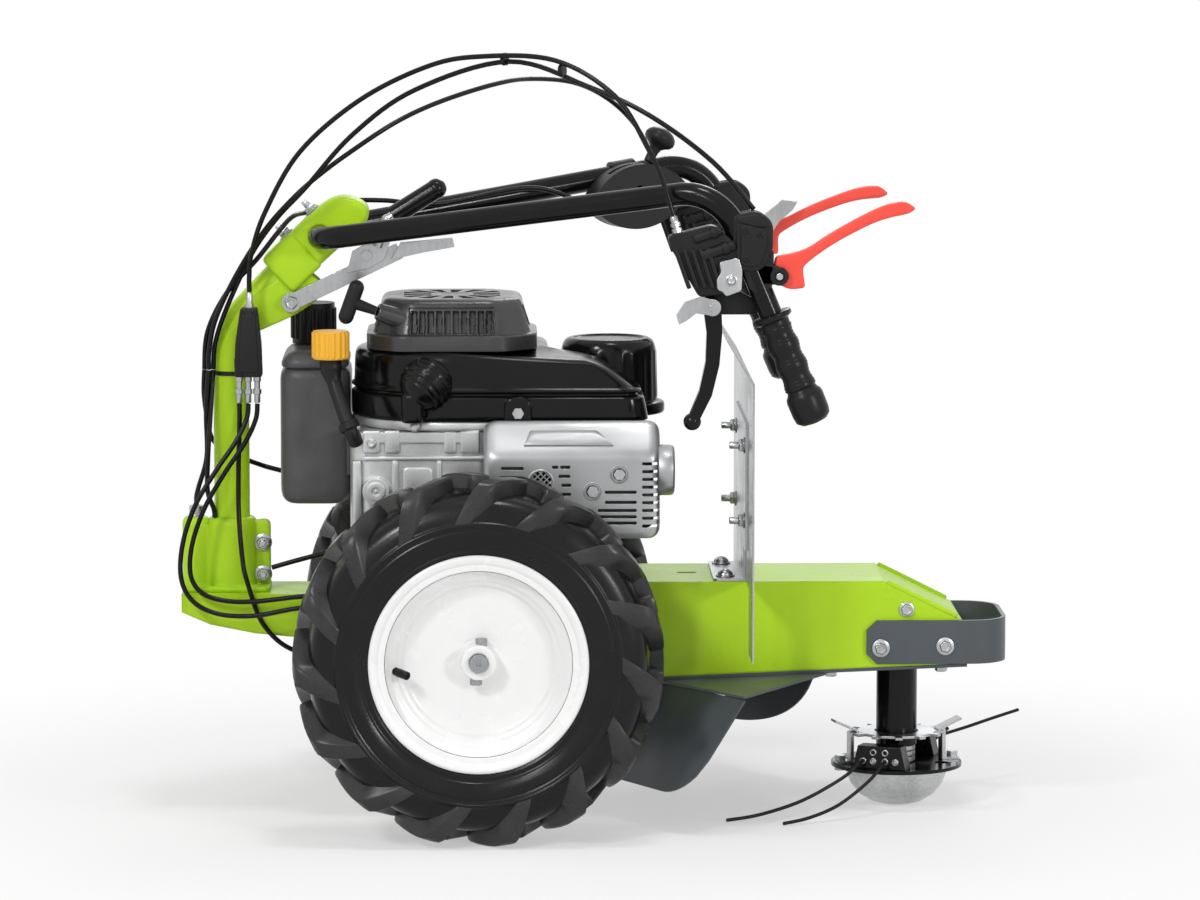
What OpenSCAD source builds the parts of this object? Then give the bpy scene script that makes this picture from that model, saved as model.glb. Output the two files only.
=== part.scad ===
// Wheeled string trimmer: two lugged tyres on a driven axle, a vertical-shaft engine,
// a front deck with a spinning line head, and a swivelling column with a height-set handlebar.
// Millimetres, +Z up, +X towards the line head, floor at Z = 0, origin at the middle of the footprint.

/* [Wheels] */
// Outside diameter over the tread lugs
tyre_d = 404; // [396:2:412]
// Tyre section width
tyre_w = 108; // [104:1:110]
// Distance between the two tyre centre planes
track = 460; // [452:2:470]
// Chevron lugs on each half of a tread
lug_count = 16; // [14:1:18]
// Drive axle diameter
axle_d = 20; // [18:0.5:22]

/* [Chassis] */
// Top of the deck above the axle centre
deck_rise = 62; // [60:1:64]
// Width of the front deck box
deck_w = 150; // [144:2:156]
// Sheet thickness of the frame
sheet = 3; // [2.5:0.5:3.5]
// Height of the zinc guard plate above the deck
guard_h = 236; // [200:4:240]
// Half width of the zinc guard plate
guard_half = 222; // [212:2:226]

/* [Line head] */
// Spindle axis ahead of the axle
spindle_x = 473; // [468:1:476]
// Spindle tube diameter
spindle_d = 46; // [44:1:48]
// Spindle shaft diameter
shaft_d = 20; // [18:0.5:22]
// Line disc diameter
disc_d = 148; // [140:2:154]
// Skid dome diameter
dome_d = 116; // [110:2:120]
// Trimmer line diameter
line_d = 4; // [3.5:0.5:4.5]

/* [Engine] */
// Crankshaft diameter
crank_d = 25; // [22:1:28]
// Recoil cover diameter
recoil_d = 190; // [184:2:194]
// Air filter canister diameter
filter_d = 109; // [104:1:112]
// Oil cap diameter
oil_cap_d = 42; // [38:1:44]
// Fuel cap diameter
fuel_cap_d = 52; // [48:1:54]

/* [Column and handlebar] */
// Column tube diameter
column_d = 40; // [38:1:42]
// Handlebar tube diameter
bar_d = 25; // [24:0.5:26]
// Half distance between the two grips
grip_half = 250; // [246:1:254]
// Grip diameter
grip_d = 34; // [32:1:35]
// Lock pin diameter
pin_d = 10; // [9:0.5:11]
// Bowden cable diameter
cable_d = 5.6; // [5:0.2:6]

/* [Fits] */
// Radial running clearance of a shaft in its bore
fit = 0.05; // [0.03:0.01:0.08]
// Gap between faces that pass each other
gap = 0.4; // [0.3:0.1:0.6]

/* [Hidden] */
$fn = 48;

// Frame: x is counted from the axle in every module, then moved to the footprint middle
x_shift = -128.5;
nominal_axle_z = 202;
axle_z = tyre_d / 2;
lift = axle_z - nominal_axle_z;
deck_z = nominal_axle_z + deck_rise;
deck_half = deck_w / 2;
deck_dz = deck_z - 264;
tail_top = deck_z - 16;

// Wheels
half_track = track / 2;
bead_r = 101;
rim_r = 120;
hub_r = 17;
hub_out = 32;
hub_in = 52;
lug_base = axle_z - 24;

// Deck underside line
belly_slope = 0.0415;
belly_tilt = atan(belly_slope);
belly_t = 4;
function belly_z(x) = 157 + (x - 207) * belly_slope;
bumper_z = [171, 220];
bumper_t = 4.5;
bumper_front = 592;
bumper_rear = 433;
guard_x = 298;
guard_t = 2;
guard_bolt_y = 100;
flap_drop = 125;
flap_t = 2.5;
flap_in = [205, 152];
flap_out = [290, 215];

// Line head bolts outside the dome
bolt_r = dome_d / 2 + 8;

// Belts and pulleys
crank_x = -29;
input_x = -118;
belt_z = 228;
belt2_z = 241;
groove_r = 31;
flange_r = 40;
spindle_groove_r = 20;
spindle_flange_r = 27;
belt_h = 9;
belt_t = 6;

// Engine
cowl_z = [436, 523];
recoil_top = 580;
tank_x = [-221, -142];
tank_y = [-50, 100];
tank_z = [348, 520];
fuel_cap_xy = [-186, 56];
oil_xy = [-163, -82];
filter_xy = [148, 62];
pull_y = -78;
pull_tilt = 20;
pull_at = [-140, pull_y, 578];

// Column and handlebar
column_x = -277;
column_t = 3;
bend_z = 540;
pivot = [-176, 0, 647];
block_tilt = 43;
block_half = 28;
block_r = 25.5;
lever_pivot = [-208, 573];
lever_tilt = 25.5;
pin_x = -317;
base_top = 330;
pin_lift = 10;
elbow_y = 72;
bar_knee = [260, grip_half, 714];
bar_end = [360.5, grip_half, 470];
grip_dir = [bar_end[0] - bar_knee[0], 0, bar_end[2] - bar_knee[2]];
grip_len = norm(grip_dir);
grip_angle = atan2(-grip_dir[2], grip_dir[0]);
grip_start = 146;
bar_t = 2.5;
bend_swell = 0.3;
bend_lap = 1;
bar_bend = 58;
elbow_bend = 42;
BAR = [
  [bar_end[0], bar_end[1], bar_end[2]],
  [bar_knee[0], bar_knee[1], bar_knee[2]],
  [pivot[0], elbow_y, pivot[2]],
  [pivot[0], -elbow_y, pivot[2]],
  [bar_knee[0], -bar_knee[1], bar_knee[2]],
  [bar_end[0], -bar_end[1], bar_end[2]]];
BAR_BENDS = [0, bar_bend, elbow_bend, elbow_bend, bar_bend, 0];
COLUMN = [[column_x, 0, tail_top + 6 + gap], [column_x, 0, bend_z], [column_x + 72, 0, bend_z + 76]];
COLUMN_BENDS = [0, 62, 0];
arm_dir = [bar_knee[0] - pivot[0], bar_knee[1] - elbow_y, bar_knee[2] - pivot[2]];
red_pivot = [324, 621];
hand_pivot = [252, 588];
throttle_reach = 375;

// Placement

module on_axle() {
  translate([x_shift, 0, lift])
    children();
}

module on_floor() {
  translate([x_shift, 0, 0])
    children();
}

module both_sides() {
  children();
  mirror([0, 1, 0])
    children();
}

// Building blocks

function unit(v) = v / norm(v);

module block(x, y, z) {
  translate([x[0], y[0], z[0]])
    cube([x[1] - x[0], y[1] - y[0], z[1] - z[0]]);
}

module rounded2(x, y, r) {
  translate([x[0] + r, y[0]])
    square([x[1] - x[0] - 2 * r, y[1] - y[0]]);
  translate([x[0], y[0] + r])
    square([x[1] - x[0], y[1] - y[0] - 2 * r]);
  for (px = [x[0] + r, x[1] - r])
    for (py = [y[0] + r, y[1] - r])
      translate([px, py])
        circle(r = r);
}

module rounded_block(x, y, z, r) {
  translate([0, 0, z[0]])
    linear_extrude(z[1] - z[0])
      rounded2(x, y, r);
}

module profile_y(points, y) {
  translate([0, y[1], 0])
    rotate([90, 0, 0])
      linear_extrude(y[1] - y[0])
        polygon(points);
}

module along_y(x, z, y, d) {
  translate([x, y[1], z])
    rotate([90, 0, 0])
      cylinder(d = d, h = y[1] - y[0]);
}

module rounded_face(x, z, y, r) {
  translate([0, y[1], 0])
    rotate([90, 0, 0])
      linear_extrude(y[1] - y[0])
        rounded2(x, z, r);
}

module rod(p, q, d) {
  v = q - p;
  translate(p)
    rotate([0, acos(v[2] / norm(v)), atan2(v[1], v[0])])
      cylinder(d = d, h = norm(v));
}

module basis(o, ex, ey, ez) {
  multmatrix([
    [ex[0], ey[0], ez[0], o[0]],
    [ex[1], ey[1], ez[1], o[1]],
    [ex[2], ey[2], ez[2], o[2]],
    [0, 0, 0, 1]])
    children();
}

// Round bar along straight runs with round bends: r[i] is the bend radius at point i
module bent_tube(p, r, d) {
  n = len(p);
  turn = [for (i = [0:n - 1]) i == 0 || i == n - 1 ? 0
    : 180 - acos(unit(p[i - 1] - p[i]) * unit(p[i + 1] - p[i]))];
  cut = [for (i = [0:n - 1]) r[i] * tan(turn[i] / 2)];
  for (i = [0:n - 2]) {
    u = unit(p[i + 1] - p[i]);
    lap_a = i > 0 ? bend_lap : 0;
    lap_b = i < n - 2 ? bend_lap : 0;
    rod(p[i] + u * (cut[i] - lap_a), p[i + 1] - u * (cut[i + 1] - lap_b), d);
  }
  for (i = [1:1:n - 2]) {
    a = unit(p[i - 1] - p[i]);
    b = unit(p[i + 1] - p[i]);
    c = p[i] + unit(a + b) * r[i] / cos(turn[i] / 2);
    ex = unit(p[i] + a * cut[i] - c);
    basis(c, ex, -a, cross(ex, -a))
      rotate_extrude(angle = turn[i])
        translate([r[i], 0])
          circle(d = d + bend_swell);
  }
}

// Cable or line: round tube of flat sides through smooth route points
function mid_route(a, b, c, d, t) = 0.5 * (2 * b + (c - a) * t
  + (2 * a - 5 * b + 4 * c - d) * t * t + (3 * b - a - 3 * c + d) * t * t * t);

function route(p, k) = [for (i = [0:len(p) - 2]) for (j = [0:k - 1])
  mid_route(p[max(i - 1, 0)], p[i], p[i + 1], p[min(i + 2, len(p) - 1)], j / k), p[len(p) - 1]];

module cable(p, d, k, sides = 8) {
  q = route(p, k);
  n = len(q);
  dir = [for (i = [0:n - 1]) unit(q[min(i + 1, n - 1)] - q[max(i - 1, 0)])];
  side = [for (v = dir) unit(cross(v, abs(v[1]) > 0.9 ? [1, 0, 0] : [0, 1, 0]))];
  up = [for (i = [0:n - 1]) cross(dir[i], side[i])];
  points = [for (i = [0:n - 1]) for (s = [0:sides - 1])
    q[i] + d / 2 * (cos(360 * s / sides) * side[i] + sin(360 * s / sides) * up[i])];
  walls = [for (i = [0:n - 2]) for (s = [0:sides - 1])
    [i * sides + s, i * sides + (s + 1) % sides,
     (i + 1) * sides + (s + 1) % sides, (i + 1) * sides + s]];
  faces = concat([for (w = walls) [w[3], w[2], w[1], w[0]]], [[for (s = [0:sides - 1]) s]],
    [[for (s = [sides - 1:-1:0]) (n - 1) * sides + s]]);
  polyhedron(points = points, faces = faces, convexity = 6);
}

module hex_head(d, head_h) {
  cylinder(d = 2 * d, h = head_h, $fn = 6);
  cylinder(d = 2.3 * d, h = head_h * 0.25);
}

module dome_bolt(d, head_h, shank) {
  intersection() {
    translate([0, 0, head_h - 1.3 * d])
      sphere(r = 1.3 * d);
    cylinder(d = 2.4 * d, h = 2 * head_h);
  }
  translate([0, 0, -shank])
    cylinder(d = d, h = shank);
}

// Chassis

function deck_side(s) = [
  [120 + s, belly_z(120) - 0.001],
  [120 + s, deck_z - s],
  [452 - 0.2 * s, deck_z - s],
  [540 - 1.2 * s, deck_z - 44 - s * 0.4],
  [546 - 1.2 * s, belly_z(546)]];

function tail_side(s) = [
  [-332 + s, tail_top - s],
  [-332 + s, deck_z - 36],
  [-300, deck_z - 50],
  [-250, deck_z - 60],
  [-200, deck_z - 65],
  [-150, deck_z - 66],
  [-150, tail_top - s]];

module main_frame() {
  color([0.52, 0.72, 0.05])
    on_axle()
      difference() {
        union() {
          profile_y(deck_side(0), [-deck_half, deck_half]);
          profile_y(tail_side(0), [-52, 52]);
          rounded_block([-165, 135], [-112, 112], [deck_z - 46, deck_z], 14);
        }
        profile_y(concat(deck_side(sheet), [[120 + sheet, belly_z(120) - 20], [560, belly_z(560) - 20]]),
          [-deck_half + sheet, deck_half - sheet]);
        profile_y([[-332 + sheet, tail_top - sheet], [-332 + sheet, deck_z - 80], [-140, deck_z - 80],
          [-140, tail_top - sheet]], [-52 + sheet, 52 - sheet]);
        rounded_block([-165 + sheet, 135 - sheet], [-112 + sheet, 112 - sheet],
          [deck_z - 90, deck_z - sheet], 11);
        block([-150, 100], [-112 + sheet, 112 - sheet], [deck_z - 120, deck_z - 46]);
        block([100, 145], [-deck_half + sheet, deck_half - sheet], [belly_z(120) - 30, deck_z - sheet]);
        translate([crank_x, 0, deck_z - 20])
          cylinder(d = crank_d + 10, h = 40);
        translate([trimmer_arm[0], trimmer_arm[1], deck_z - 20])
          cylinder(r = 5 + fit, h = 40);
        translate([traction_arm[0], traction_arm[1], deck_z - 20])
          cylinder(r = 5 + fit, h = 40);
        translate([224, 0, deck_z - 10])
          linear_extrude(20)
            rounded2([0, 22], [-5, 5], 4.9);
      }
}

module belly_plate() {
  color([0.12, 0.13, 0.14])
    on_axle()
      difference() {
        profile_y([[123, belly_z(123) - belly_t], [546, belly_z(546) - belly_t], [546, belly_z(546)],
          [123, belly_z(123)]], [-deck_half, deck_half]);
        translate([spindle_x, 0, 100])
          cylinder(d = spindle_d + 2 * fit, h = 120);
      }
}

crease = unit([flap_out[0] - flap_in[0], -(flap_out[1] - deck_half + 3), 0]);
crease_len = norm([flap_out[0] - flap_in[0], flap_out[1] - deck_half + 3]);
fall = [-0.52, 0, -sqrt(1 - 0.52 * 0.52)];
fall_in = unit(fall - (fall * crease) * crease);
skew = fall * crease;
drop_in = fall * fall_in;
flap_z = belly_z(flap_in[0]) - belly_t;

module deflector_wing() {
  basis([flap_in[0], -deck_half + 3, flap_z - 0.5], crease, fall_in, cross(crease, fall_in))
    linear_extrude(flap_t) {
      polygon([
        [-6, 0],
        [crease_len, 0],
        [crease_len + skew * 78, drop_in * 78],
        [crease_len + skew * 78 - 50, drop_in * flap_drop],
        [skew * flap_drop - 6, drop_in * flap_drop]]);
      translate([crease_len + skew * 78 - 48, drop_in * 78])
        circle(r = drop_in * (flap_drop - 78));
    }
  front = unit([385 - flap_out[0], flap_out[1] - deck_half, 0]);
  front_len = norm([385 - flap_out[0], flap_out[1] - deck_half]);
  basis([flap_out[0], -flap_out[1], flap_z + 1], front, [0, 0, -1], cross(front, [0, 0, -1]))
    linear_extrude(flap_t)
      polygon([[-2, 0], [front_len, 0], [front_len * 0.78, 5], [front_len * 0.5, 12],
        [front_len * 0.25, 21], [-2, 30]]);
}

module deflector() {
  color([0.24, 0.26, 0.28])
    on_axle() {
      both_sides()
        deflector_wing();
      translate([flap_in[0], 0, flap_z])
        rotate([0, -belly_tilt, 0])
          translate([-flap_in[0], 0, -flap_t])
            linear_extrude(flap_t)
              polygon([
                [flap_in[0] - 2, -deck_half + 1], [flap_out[0], -flap_out[1]], [387, -deck_half],
                [387, deck_half], [flap_out[0], flap_out[1]], [flap_in[0] - 2, deck_half - 1]]);
      basis([flap_in[0], -deck_half + 2, flap_z - 0.5], [0, 1, 0], fall, cross([0, 1, 0], fall))
        translate([0, 0, -flap_t])
          linear_extrude(flap_t)
            square([deck_w - 4, flap_drop]);
    }
}

module bumper() {
  color([0.2, 0.21, 0.23])
    on_axle()
      translate([0, 0, bumper_z[0]])
        difference() {
          linear_extrude(bumper_z[1] - bumper_z[0])
            difference() {
              rounded2([380, bumper_front], [-deck_half - bumper_t, deck_half + bumper_t], 42);
              rounded2([300, bumper_front - bumper_t], [-deck_half, deck_half], 42 - bumper_t);
              translate([300, -200])
                square([bumper_rear - 300, 400]);
            }
          for (z = [0, 1])
            both_sides()
              translate([bumper_rear, -deck_half - 10, z * (bumper_z[1] - bumper_z[0])])
                rotate([0, 45, 0])
                  cube([16, 30, 16], center = true);
        }
}

module guard_plate() {
  color([0.72, 0.74, 0.76])
    on_axle()
      difference() {
        union() {
          block([guard_x, guard_x + guard_t], [-guard_half, guard_half], [deck_z - 70, deck_z + guard_h]);
          translate([guard_x + guard_t, 0, deck_z + guard_h])
            rotate([0, -32, 0])
              translate([-guard_t, 0, 0])
                rotate([90, 0, 90])
                  linear_extrude(guard_t)
                    polygon([[-guard_half, -0.6], [guard_half, -0.6], [guard_half - 75, 48],
                      [75 - guard_half, 48]]);
        }
        block([guard_x - 5, guard_x + 40], [-142, 142], [deck_z - 90, deck_z + 0.5]);
        for (z = [deck_z + 72, deck_z + 156])
          both_sides()
            translate([guard_x - 20, guard_bolt_y, z])
              rotate([0, 90, 0])
                cylinder(r = 4 + fit, h = 40);
      }
}

module guard_bracket() {
  color([0.68, 0.7, 0.72])
    on_axle() {
      difference() {
        union() {
          rounded_block([262, guard_x], [-deck_half + 2, deck_half - 2], [deck_z, deck_z + 3], 5);
          block([guard_x - 3, guard_x], [-deck_half + 2, deck_half - 2], [deck_z, deck_z + 40]);
          block([guard_x - 3, guard_x], [-guard_bolt_y - 18, guard_bolt_y + 18], [deck_z + 40, deck_z + 182]);
        }
        both_sides()
          translate([276, 52, deck_z - 10])
            cylinder(r = 5 + fit, h = 40);
        for (z = [deck_z + 72, deck_z + 156])
          both_sides()
            translate([guard_x - 20, guard_bolt_y, z])
              rotate([0, 90, 0])
                cylinder(r = 4 + fit, h = 40);
      }
    }
}

module frame_bolts() {
  color([0.78, 0.79, 0.8])
    on_axle() {
      both_sides() {
        translate([276, 52, deck_z + 3])
          dome_bolt(10, 8, 3);
        for (z = [deck_z + 72, deck_z + 156])
          translate([guard_x - 3, guard_bolt_y, z])
            rotate([0, -90, 0]) {
              cylinder(d = 15, h = 7, $fn = 6);
              cylinder(d = 8, h = 17);
              translate([0, 0, -3 - guard_t])
                cylinder(d = 8, h = 3 + guard_t);
              translate([0, 0, -3 - guard_t - 6])
                cylinder(d = 15, h = 6, $fn = 6);
            }
        for (p = [[449, 189], [521, 191]])
          translate([p[0], -deck_half - bumper_t, p[1]])
            rotate([90, 0, 0])
              hex_head(8, 5);
        translate([478, -deck_half, 232])
          rotate([90, 0, 0])
            hex_head(8, 5);
        for (x = [394, 518])
          translate([x, deck_half - 14, belly_z(x) - belly_t])
            rotate([180, -belly_tilt, 0])
              cylinder(d = 14, h = 6, $fn = 6);
      }
      for (z = [tail_top + 17, tail_top + 53])
        translate([-242.2, -9, z])
          rotate([90, 0, 0])
            hex_head(7, 6);
      translate([pin_x, 0, deck_dz + base_top + 0.2])
        cylinder(d = pin_d + 7, h = 12);
    }
}

module column_base() {
  top = base_top + deck_dz;
  color([0.5, 0.7, 0.05])
    on_axle()
      difference() {
        union() {
          rounded_block([-332, -234], [-38, 38], [tail_top, tail_top + 6], 12);
          translate([column_x, 0, tail_top])
            cylinder(d = column_d + 16, h = top - tail_top);
          translate([pin_x, 0, tail_top])
            cylinder(d = pin_d + 22, h = top - tail_top);
          block([pin_x, column_x], [-13, 13], [tail_top, top - 6]);
          rounded_face([-268, -234], [tail_top, top - 3], [-9, 9], 8);
        }
        translate([column_x, 0, tail_top + 6])
          cylinder(r = column_d / 2 + fit, h = 110);
        translate([pin_x, 0, tail_top + 12])
          cylinder(r = pin_d / 2 + fit, h = 110);
        block([column_x, -200], [-1.2, 1.2], [tail_top + 6, top + 20]);
      }
}

module gearbox() {
  color([0.62, 0.63, 0.64])
    on_axle()
      difference() {
        union() {
          rounded_face([-146, 46], [155, deck_z - 50], [-62, 62], 22);
          block([-145, 60], [-112, 112], [deck_z - 52, deck_z - 46]);
          difference() {
            along_y(0, nominal_axle_z, [-half_track + hub_in + 3, half_track - hub_in - 3], axle_d + 26);
            block([-60, 60], [-half_track, half_track], [deck_z - 46.2, deck_z]);
          }
        }
        along_y(0, nominal_axle_z, [-half_track, half_track], axle_d + 2 * fit);
        translate([input_x, 0, 190])
          cylinder(r = 8 + fit, h = 60);
      }
}

module spindle_tube() {
  color([0.07, 0.07, 0.08])
    on_floor()
      difference() {
        union() {
          translate([spindle_x, 0, 68])
            cylinder(d = spindle_d, h = 132 + lift);
          translate([spindle_x, 0, belly_z(spindle_x) + lift])
            rotate([0, -belly_tilt, 0])
              cylinder(d = spindle_d + 46, h = 6);
        }
        translate([spindle_x, 0, 40])
          cylinder(d = 2 * bearing_r, h = 220 + lift);
      }
}

bearing_r = shaft_d / 2 + 9;

module spindle_bearings() {
  color([0.6, 0.61, 0.63])
    on_floor()
      for (z = [76, 178 + lift])
        translate([spindle_x, 0, z])
          difference() {
            cylinder(r = bearing_r, h = 14);
            translate([0, 0, -1])
              cylinder(r = shaft_d / 2 + fit, h = 16);
          }
}

// Engine

module crankcase() {
  color([0.7, 0.71, 0.72])
    on_axle()
      translate([0, 0, deck_dz]) {
        difference() {
          union() {
            rounded_block([-142, 24], [-105, 105], [276, cowl_z[0]], 24);
            rounded_block([-154, 40], [-112, 112], [264, 276], 18);
            translate([crank_x, 0, 400])
              cylinder(r = 34, h = 49);
            block([10, 118], [-48, 48], [318, 428]);
            for (z = [326:16:422])
              block([30, 124], [-68, 68], [z, z + 5]);
            along_y(-113, 371, [-114, -90], 30);
            along_y(-60, 312, [-112, -90], 22);
            block([-130, 0], [-109, -100], [424, cowl_z[0]]);
          }
          block([-122, 6], [-85, 85], [288, 420]);
          along_y(80, 380, [-90, -48], 30 + 2 * gap);
          translate([crank_x, 0, 200])
            cylinder(r = crank_d / 2 + fit, h = 300);
        }
        rounded_block([124, 172], [42, 84], [394, 440], 6);
      }
}

module cowl_plan(s) {
  translate([crank_x, 0])
    circle(r = 113 - s, $fn = 96);
  rounded2([-29 + s, 80 - s], [-113 + s, 113 - s], 8);
  rounded2([-20 + s, 189 - s], [-113 + s, -5 - s], 20);
}

module cowl_body(s) {
  intersection() {
    translate([0, 0, cowl_z[0]])
      linear_extrude(120)
        cowl_plan(s);
    profile_y([[-200, cowl_z[0]], [-200, cowl_z[1] - s], [70, cowl_z[1] - s], [158 - s, 499 - s],
      [190 - s, 462 - s], [190 - s, cowl_z[0]]], [-150, 150]);
  }
}

module cowl() {
  color([0.04, 0.04, 0.045])
    on_axle()
      translate([0, 0, deck_dz])
        difference() {
          union() {
            cowl_body(0);
            intersection() {
              translate([-55, -92, 474])
                sphere(r = 44);
              block([-100, -12], [-140, -60], [448, 520]);
            }
            along_y(-73, 468, [-126, -104], 22);
            block([-84, -62], [-126, -104], [446, 468]);
            rounded_face([22, 70], [446, 474], [-117, -100], 6);
          }
          translate([0, 0, -0.5])
            cowl_body(3);
          translate([crank_x, 0, cowl_z[1] - 10])
            cylinder(d = recoil_d - 50, h = 40);
        }
}

module recoil_cover() {
  color([0.05, 0.05, 0.055])
    on_axle()
      translate([0, 0, deck_dz]) {
        difference() {
          union() {
            translate([crank_x, 0, 0])
              rotate_extrude($fn = 96)
                polygon([[0, cowl_z[1]], [recoil_d / 2, cowl_z[1]], [recoil_d / 2, cowl_z[1] + 10],
                  [recoil_d / 2 - 6, cowl_z[1] + 13], [recoil_d / 2 - 9, 560], [recoil_d / 2 - 22, 576],
                  [recoil_d / 2 - 36, recoil_top], [0, recoil_top]]);
            rod([-50, -74, 551], [-112.2, pull_y, 567.9], 20);
          }
          translate([crank_x, 0, 0])
            rotate_extrude($fn = 96)
              polygon([[0, cowl_z[1] - 1], [recoil_d / 2 - 14, cowl_z[1] - 1], [recoil_d / 2 - 14, 556],
                [recoil_d / 2 - 38, 574], [0, 574]]);
          for (i = [-4:4])
            block([crank_x + i * 12.5 - 3.5, crank_x + i * 12.5 + 3.5], [-120, -40], [540, 562]);
          for (a = [20:20:160])
            translate([crank_x, 0, 540])
              rotate([0, 0, a])
                translate([60, -4, 0])
                  cube([60, 8, 22]);
          for (a = [0:30:330])
            translate([crank_x, 0, 570])
              rotate([0, 0, a])
                translate([22, -3, 0])
                  cube([28, 6, 20]);
        }
      }
}

module fuel_tank() {
  color([0.06, 0.06, 0.065])
    on_axle()
      translate([0, 0, deck_dz])
        difference() {
          union() {
            rounded_block(tank_x, tank_y, [tank_z[0] + 14, tank_z[1] - 12], 24);
            rounded_block([tank_x[0] + 8, tank_x[1] - 8], [tank_y[0] + 8, tank_y[1] - 8], tank_z, 18);
            translate([fuel_cap_xy[0], fuel_cap_xy[1], tank_z[1] - 4])
              cylinder(d = fuel_cap_d - 12, h = 20);
            block([-150, -142], [-40, 90], [380, 446]);
          }
          rounded_block([tank_x[0] + 5, tank_x[1] - 13], [tank_y[0] + 5, tank_y[1] - 5],
            [tank_z[0] + 20, tank_z[1] - 18], 19);
          translate([fuel_cap_xy[0], fuel_cap_xy[1], tank_z[1] - 30])
            cylinder(d = fuel_cap_d - 20, h = 60);
        }
}

module fuel_cap() {
  color([0.05, 0.05, 0.05])
    on_axle()
      translate([fuel_cap_xy[0], fuel_cap_xy[1], deck_dz])
        difference() {
          union() {
            translate([0, 0, tank_z[1] + gap])
              cylinder(d = fuel_cap_d - 4, h = 566 - tank_z[1] - gap);
            for (a = [0:20:340])
              rotate([0, 0, a])
                translate([fuel_cap_d / 2 - 3, 0, tank_z[1] + 6])
                  cylinder(d = 6, h = 34);
          }
          translate([0, 0, tank_z[1] - 1])
            cylinder(r = (fuel_cap_d - 12) / 2 + fit, h = 18);
        }
}

module oil_tube() {
  color([0.06, 0.06, 0.06])
    on_axle()
      translate([0, 0, deck_dz]) {
        difference() {
          union() {
            translate([oil_xy[0], oil_xy[1], 402])
              cylinder(d = 26, h = 113);
            rod([oil_xy[0], oil_xy[1], 414], [-142, oil_xy[1], 414], 24);
          }
          translate([oil_xy[0], oil_xy[1], 410])
            cylinder(d = 18, h = 113);
        }
      }
}

module oil_cap() {
  color([0.95, 0.78, 0.05])
    on_axle()
      translate([oil_xy[0], oil_xy[1], deck_dz]) {
        translate([0, 0, 515 + gap])
          cylinder(d = oil_cap_d - 3, h = 31);
        for (a = [0:20:340])
          rotate([0, 0, a])
            translate([oil_cap_d / 2 - 2.5, 0, 517])
              cylinder(d = 5, h = 28);
        translate([0, 0, 500])
          cylinder(r = 9 - fit, h = 18);
      }
}

module muffler() {
  color([0.42, 0.42, 0.43])
    on_axle()
      translate([0, 0, deck_dz]) {
        difference() {
          rounded_face([24, 186], [332, 430], [-142, -74], 22);
          rounded_face([26, 184], [334, 428], [-140, -76], 20);
        }
        rod([80, -74.5, 380], [80, -48, 380], 30);
      }
}

module muffler_shield() {
  color([0.74, 0.75, 0.76])
    on_axle()
      translate([0, 0, deck_dz])
        difference() {
          union() {
            rounded_face([6, 200], [320, 452], [-152, -117.6], 16);
            rounded_face([196, 217], [370, 425], [-148, -119], 5);
          }
          rounded_face([8, 198], [322, 450], [-150, -110], 14);
          rounded_face([190, 215], [372, 423], [-146, -110], 3);
          for (i = [-3:3])
            along_y(68 + i * 7, 386, [-160, -140], 4.5);
          for (i = [-2:2])
            for (z = [377, 395])
              along_y(68 + i * 7, z, [-160, -140], 4.5);
          for (p = [[126, 375], [155, 394]])
            along_y(p[0], p[1], [-160, -140], 6 + 2 * fit);
          for (x = [30:24:174])
            block([x, x + 14], [-146, -122], [445, 460]);
          for (z = [384, 396, 408])
            block([206, 230], [-142, -124], [z, z + 6]);
        }
}

module air_filter() {
  color([0.06, 0.06, 0.065])
    on_axle()
      translate([filter_xy[0], filter_xy[1], deck_dz]) {
        difference() {
          union() {
            rotate_extrude($fn = 96)
              polygon([[0, 440], [filter_d / 2 + 9, 440], [filter_d / 2 + 9, 453], [filter_d / 2, 454],
                [filter_d / 2 - 1, 514], [filter_d / 2 - 4, 522], [filter_d / 2 - 10, 526], [0, 526]]);
            for (a = [0:45:315])
              rotate([0, 0, a])
                translate([filter_d / 2 - 2, 0, 453])
                  cylinder(d = 9, h = 58);
          }
          translate([0, 0, 446])
            cylinder(d = filter_d - 14, h = 74);
        }
      }
}

module engine_bolts() {
  color([0.75, 0.76, 0.77])
    on_axle()
      translate([0, 0, deck_dz]) {
        for (p = [[126, 375], [155, 394]])
          translate([p[0], -150.6, p[1]])
            rotate([90, 0, 0]) {
              translate([0, 0, -8.6])
                cylinder(d = 6, h = 10.2);
              translate([0, 0, 1.4])
                cylinder(d = 13, h = 5, $fn = 6);
            }
        translate([44, -117, 458])
          rotate([90, 0, 0])
            cylinder(d = 13, h = 5, $fn = 6);
        for (x = [-140, 26])
          both_sides()
            translate([x, 103, 276])
              cylinder(d = 14, h = 6, $fn = 6);
      }
}

module grooved_pulley(r_flange, r_groove, z0) {
  translate([0, 0, z0 - 7])
    cylinder(r = r_flange, h = 2);
  translate([0, 0, z0 - 5])
    cylinder(r = r_groove, h = 10);
  translate([0, 0, z0 + 5])
    cylinder(r = r_flange, h = 2);
}

module crankshaft() {
  color([0.55, 0.56, 0.58])
    on_axle()
      translate([crank_x, 0, 0]) {
        translate([0, 0, 220])
          cylinder(d = crank_d, h = 284 + deck_dz);
        grooved_pulley(flange_r, groove_r, belt_z + deck_dz);
        grooved_pulley(flange_r, groove_r, belt2_z + deck_dz);
        translate([0, 0, 330 + deck_dz])
          cylinder(d = 2.6 * crank_d, h = 16);
        translate([0, 0, 374 + deck_dz])
          cylinder(d = 2.6 * crank_d, h = 16);
      }
}

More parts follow.
